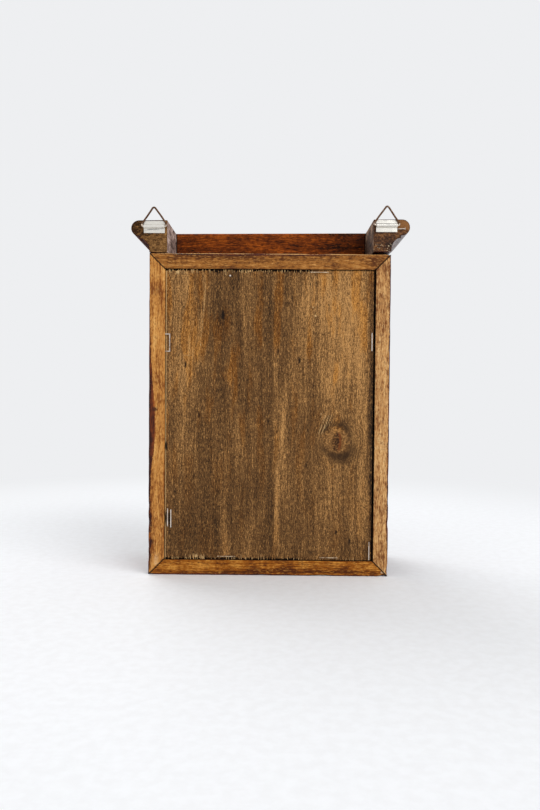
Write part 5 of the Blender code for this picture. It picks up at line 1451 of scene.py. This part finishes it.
def knob():
    """The turned knob, finer than its solid; its profile runs from the rose to the crown."""
    low, high = box_mm("knob")
    centre = (low + high) / 2
    ball = (high.x - low.x) / 2
    low_angle = -math.acos(KNOB_NECK / ball)
    ball_middle = high.y - low.y - KNOB_BALL_RISE
    hollow = (KNOB_BASE - KNOB_NECK, KNOB_HOLLOW)
    profile = np.array([
        (KNOB_BASE - KNOB_CHAMFER, 0),
        (KNOB_BASE, KNOB_CHAMFER),
        (KNOB_BASE, KNOB_BASE_THICKNESS - 0.2),
        (KNOB_BASE - KNOB_CHAMFER, KNOB_BASE_THICKNESS),
        *arc((KNOB_BASE, KNOB_BASE_THICKNESS + KNOB_HOLLOW), hollow, 3 * QUARTER, math.pi, 8)[1:],
        *arc((0, ball_middle), (ball, KNOB_BALL_RISE), low_angle, QUARTER, 24)[:-1],
    ])
    angles = np.arange(KNOB_SIDES) / KNOB_SIDES * 2 * math.pi
    radii, heights = profile.T[..., None]
    x = centre.x + radii * np.cos(angles)
    z = centre.z + radii * np.sin(angles)
    places = np.stack((x, np.broadcast_to(high.y - heights, x.shape), z), axis=-1)
    loft_piece("knob_turned", places, "brass", "door", {}, "knob")


def key_hook(node):
    """A cup hook: a collar against the rail, a short neck, and a round bowl with a bead at its tip."""
    low, high = box_mm(node)
    rail_low, rail_high = box_mm(node.replace("hook", "rail")[:-2])
    start = rail_low.y - FIT_GAP
    z = (rail_low.z + rail_high.z) / 2
    neck_y = start - HOOK_NECK
    bowl_y = neck_y - HOOK_BEND - HOOK_BOWL
    path = [(start - out, z) for out, _ in HOOK_COLLAR]
    path += arc((neck_y, z - HOOK_BEND), HOOK_BEND, QUARTER, math.pi, 8)
    path += arc((bowl_y, z - HOOK_BEND), HOOK_BOWL, 0, -math.pi - HOOK_TIP_ANGLE, 32)[1:]
    path = [((low.x + high.x) / 2, y, z) for y, z in path]
    radii = [radius for _, radius in HOOK_COLLAR]
    radii += [HOOK_WIRE] * (len(path) - len(radii) - len(HOOK_TIP)) + list(HOOK_TIP)
    tube_piece(f"{node}_bent", path, radii, 14, "brass", "carcass", node)


CAD_LOOKS = {
    "rusty_steel": ("staple_side_right_2",),
    "brass": ("hinge_", "catch_screw", "knob_screw", "strike_screw"),
    "steel": ("staple_side", "panel_pin", "hanger_nail"),
    "dull_steel": ("staple_top", "staple_bottom"),
    "tin": ("strike_plate",),
    "plastic": ("catch_case",),
    "magnet": ("catch_magnet",),
    "key_rail": ("key_rail",),
}


def dress_solids():
    """Gives each solid that keeps its shape the finish of its kind."""
    for name, node in frame["nodes"].items():
        looks = [look for look, starts in CAD_LOOKS.items() if name.startswith(starts)]
        if looks:
            node.data.materials.clear()
            node.data.materials.append(LOOKS[looks[0]])


# Stage

BACKDROP = tone(238, 239, 241)
FLOOR_TONE = tone(247, 249, 252)
FLOOR_HALF = 3000.0
FLOOR_NEAR = 260.0
FLOOR_FAR = 620.0
WORLD_STRENGTH = 0.58
# Each lamp: place, size and power
LAMPS = {
    "window": ((-1150.0, 1250.0, 1000.0), 1500.0, 23.0),
    "front_fill": ((900.0, -1300.0, 1000.0), 1500.0, 17.0),
}
LAMP_AIM = Vector((0, 0, 120.0))


def camera_only(nodes):
    """1 for rays that see a surface or its mirror image, and 0 for those that light it."""
    path = nodes.node("ShaderNodeLightPath")
    rays = ("Is Camera Ray", "Is Glossy Ray", "Is Transmission Ray")
    camera, glossy, through = (Signal(nodes, path.outputs[ray]) for ray in rays)
    return camera.most(glossy).most(through)


def floor():
    """A pale floor that takes the shadow near the cabinet and fades into the backdrop."""
    finish = Finish("floor_paper")
    away = (finish.x * finish.x + finish.y * finish.y).math("SQRT")
    fade = away.rise(FLOOR_NEAR, FLOOR_FAR)
    grain = finish.noise(6, 3.0, 0.6)
    finish.set("Base Color", finish.mix(grain.rise(-0.2, 0.2) * 0.5, FLOOR_TONE, BACKDROP))
    finish.set("Roughness", 0.9)
    finish.bump(grain, 0.15, 0.3)
    glow = finish.node("ShaderNodeEmission", Color=BACKDROP)
    shaders = (finish.shader.outputs[0], glow.outputs[0])
    mixed = finish.node("ShaderNodeMixShader", fade * camera_only(finish), *shaders)
    finish.feed(finish.tree.nodes["Material Output"].inputs["Surface"], mixed.outputs[0])
    mesh = bpy.data.meshes.new("floor")
    half = FLOOR_HALF * MM
    corners = [(-half, -half, 0), (half, -half, 0), (half, half, 0), (-half, half, 0)]
    mesh.from_pydata(corners, [], [(0, 1, 2, 3)])
    mesh.materials.append(finish.look)
    add_object("floor", mesh)


def world():
    made = bpy.data.worlds.new("studio")
    made.use_nodes = True
    nodes = Nodes(made.node_tree)
    light = nodes.tree.nodes["Background"]
    light.inputs["Color"].default_value = (1, 1, 1, 1)
    light.inputs["Strength"].default_value = WORLD_STRENGTH
    shown = nodes.node("ShaderNodeBackground", Color=BACKDROP)
    mixed = nodes.node("ShaderNodeMixShader", camera_only(nodes), light.outputs[0], shown.outputs[0])
    nodes.feed(nodes.tree.nodes["World Output"].inputs["Surface"], mixed.outputs[0])
    bpy.context.scene.world = made


def lamps():
    for name, (place, size, power) in LAMPS.items():
        data = bpy.data.lights.new(name, "AREA")
        data.size = size * MM
        data.energy = power
        turn = (LAMP_AIM - Vector(place)).to_track_quat("-Z", "Y")
        turned = Matrix.Translation(Vector(place) * MM) @ turn.to_matrix().to_4x4()
        add_object(name, data).matrix_world = turned


def build():
    make_camera()
    carcass_boards()
    back_panel()
    splinters("panel_splinters_top", SPLINTERS_TOP, PANEL_HIGH_Z, 1, 5)
    splinters("panel_splinters_bottom", SPLINTERS_BOTTOM, PANEL_LOW_Z, -1, 8)
    crown_front()
    for name, side in (("right", 1), ("left", -1)):
        crown_return(f"crown_return_{name}", side)
        saddle(name, side)
        hanger_ring(name, side * 1.3)
    door()
    door_panel()
    knob()
    for level in ("lower", "upper"):
        for number in range(1, 5):
            key_hook(f"key_hook_{level}_{number}")
    dress_solids()
    floor()
    world()
    lamps()
    bpy.context.scene.view_settings.view_transform = "Standard"


build()
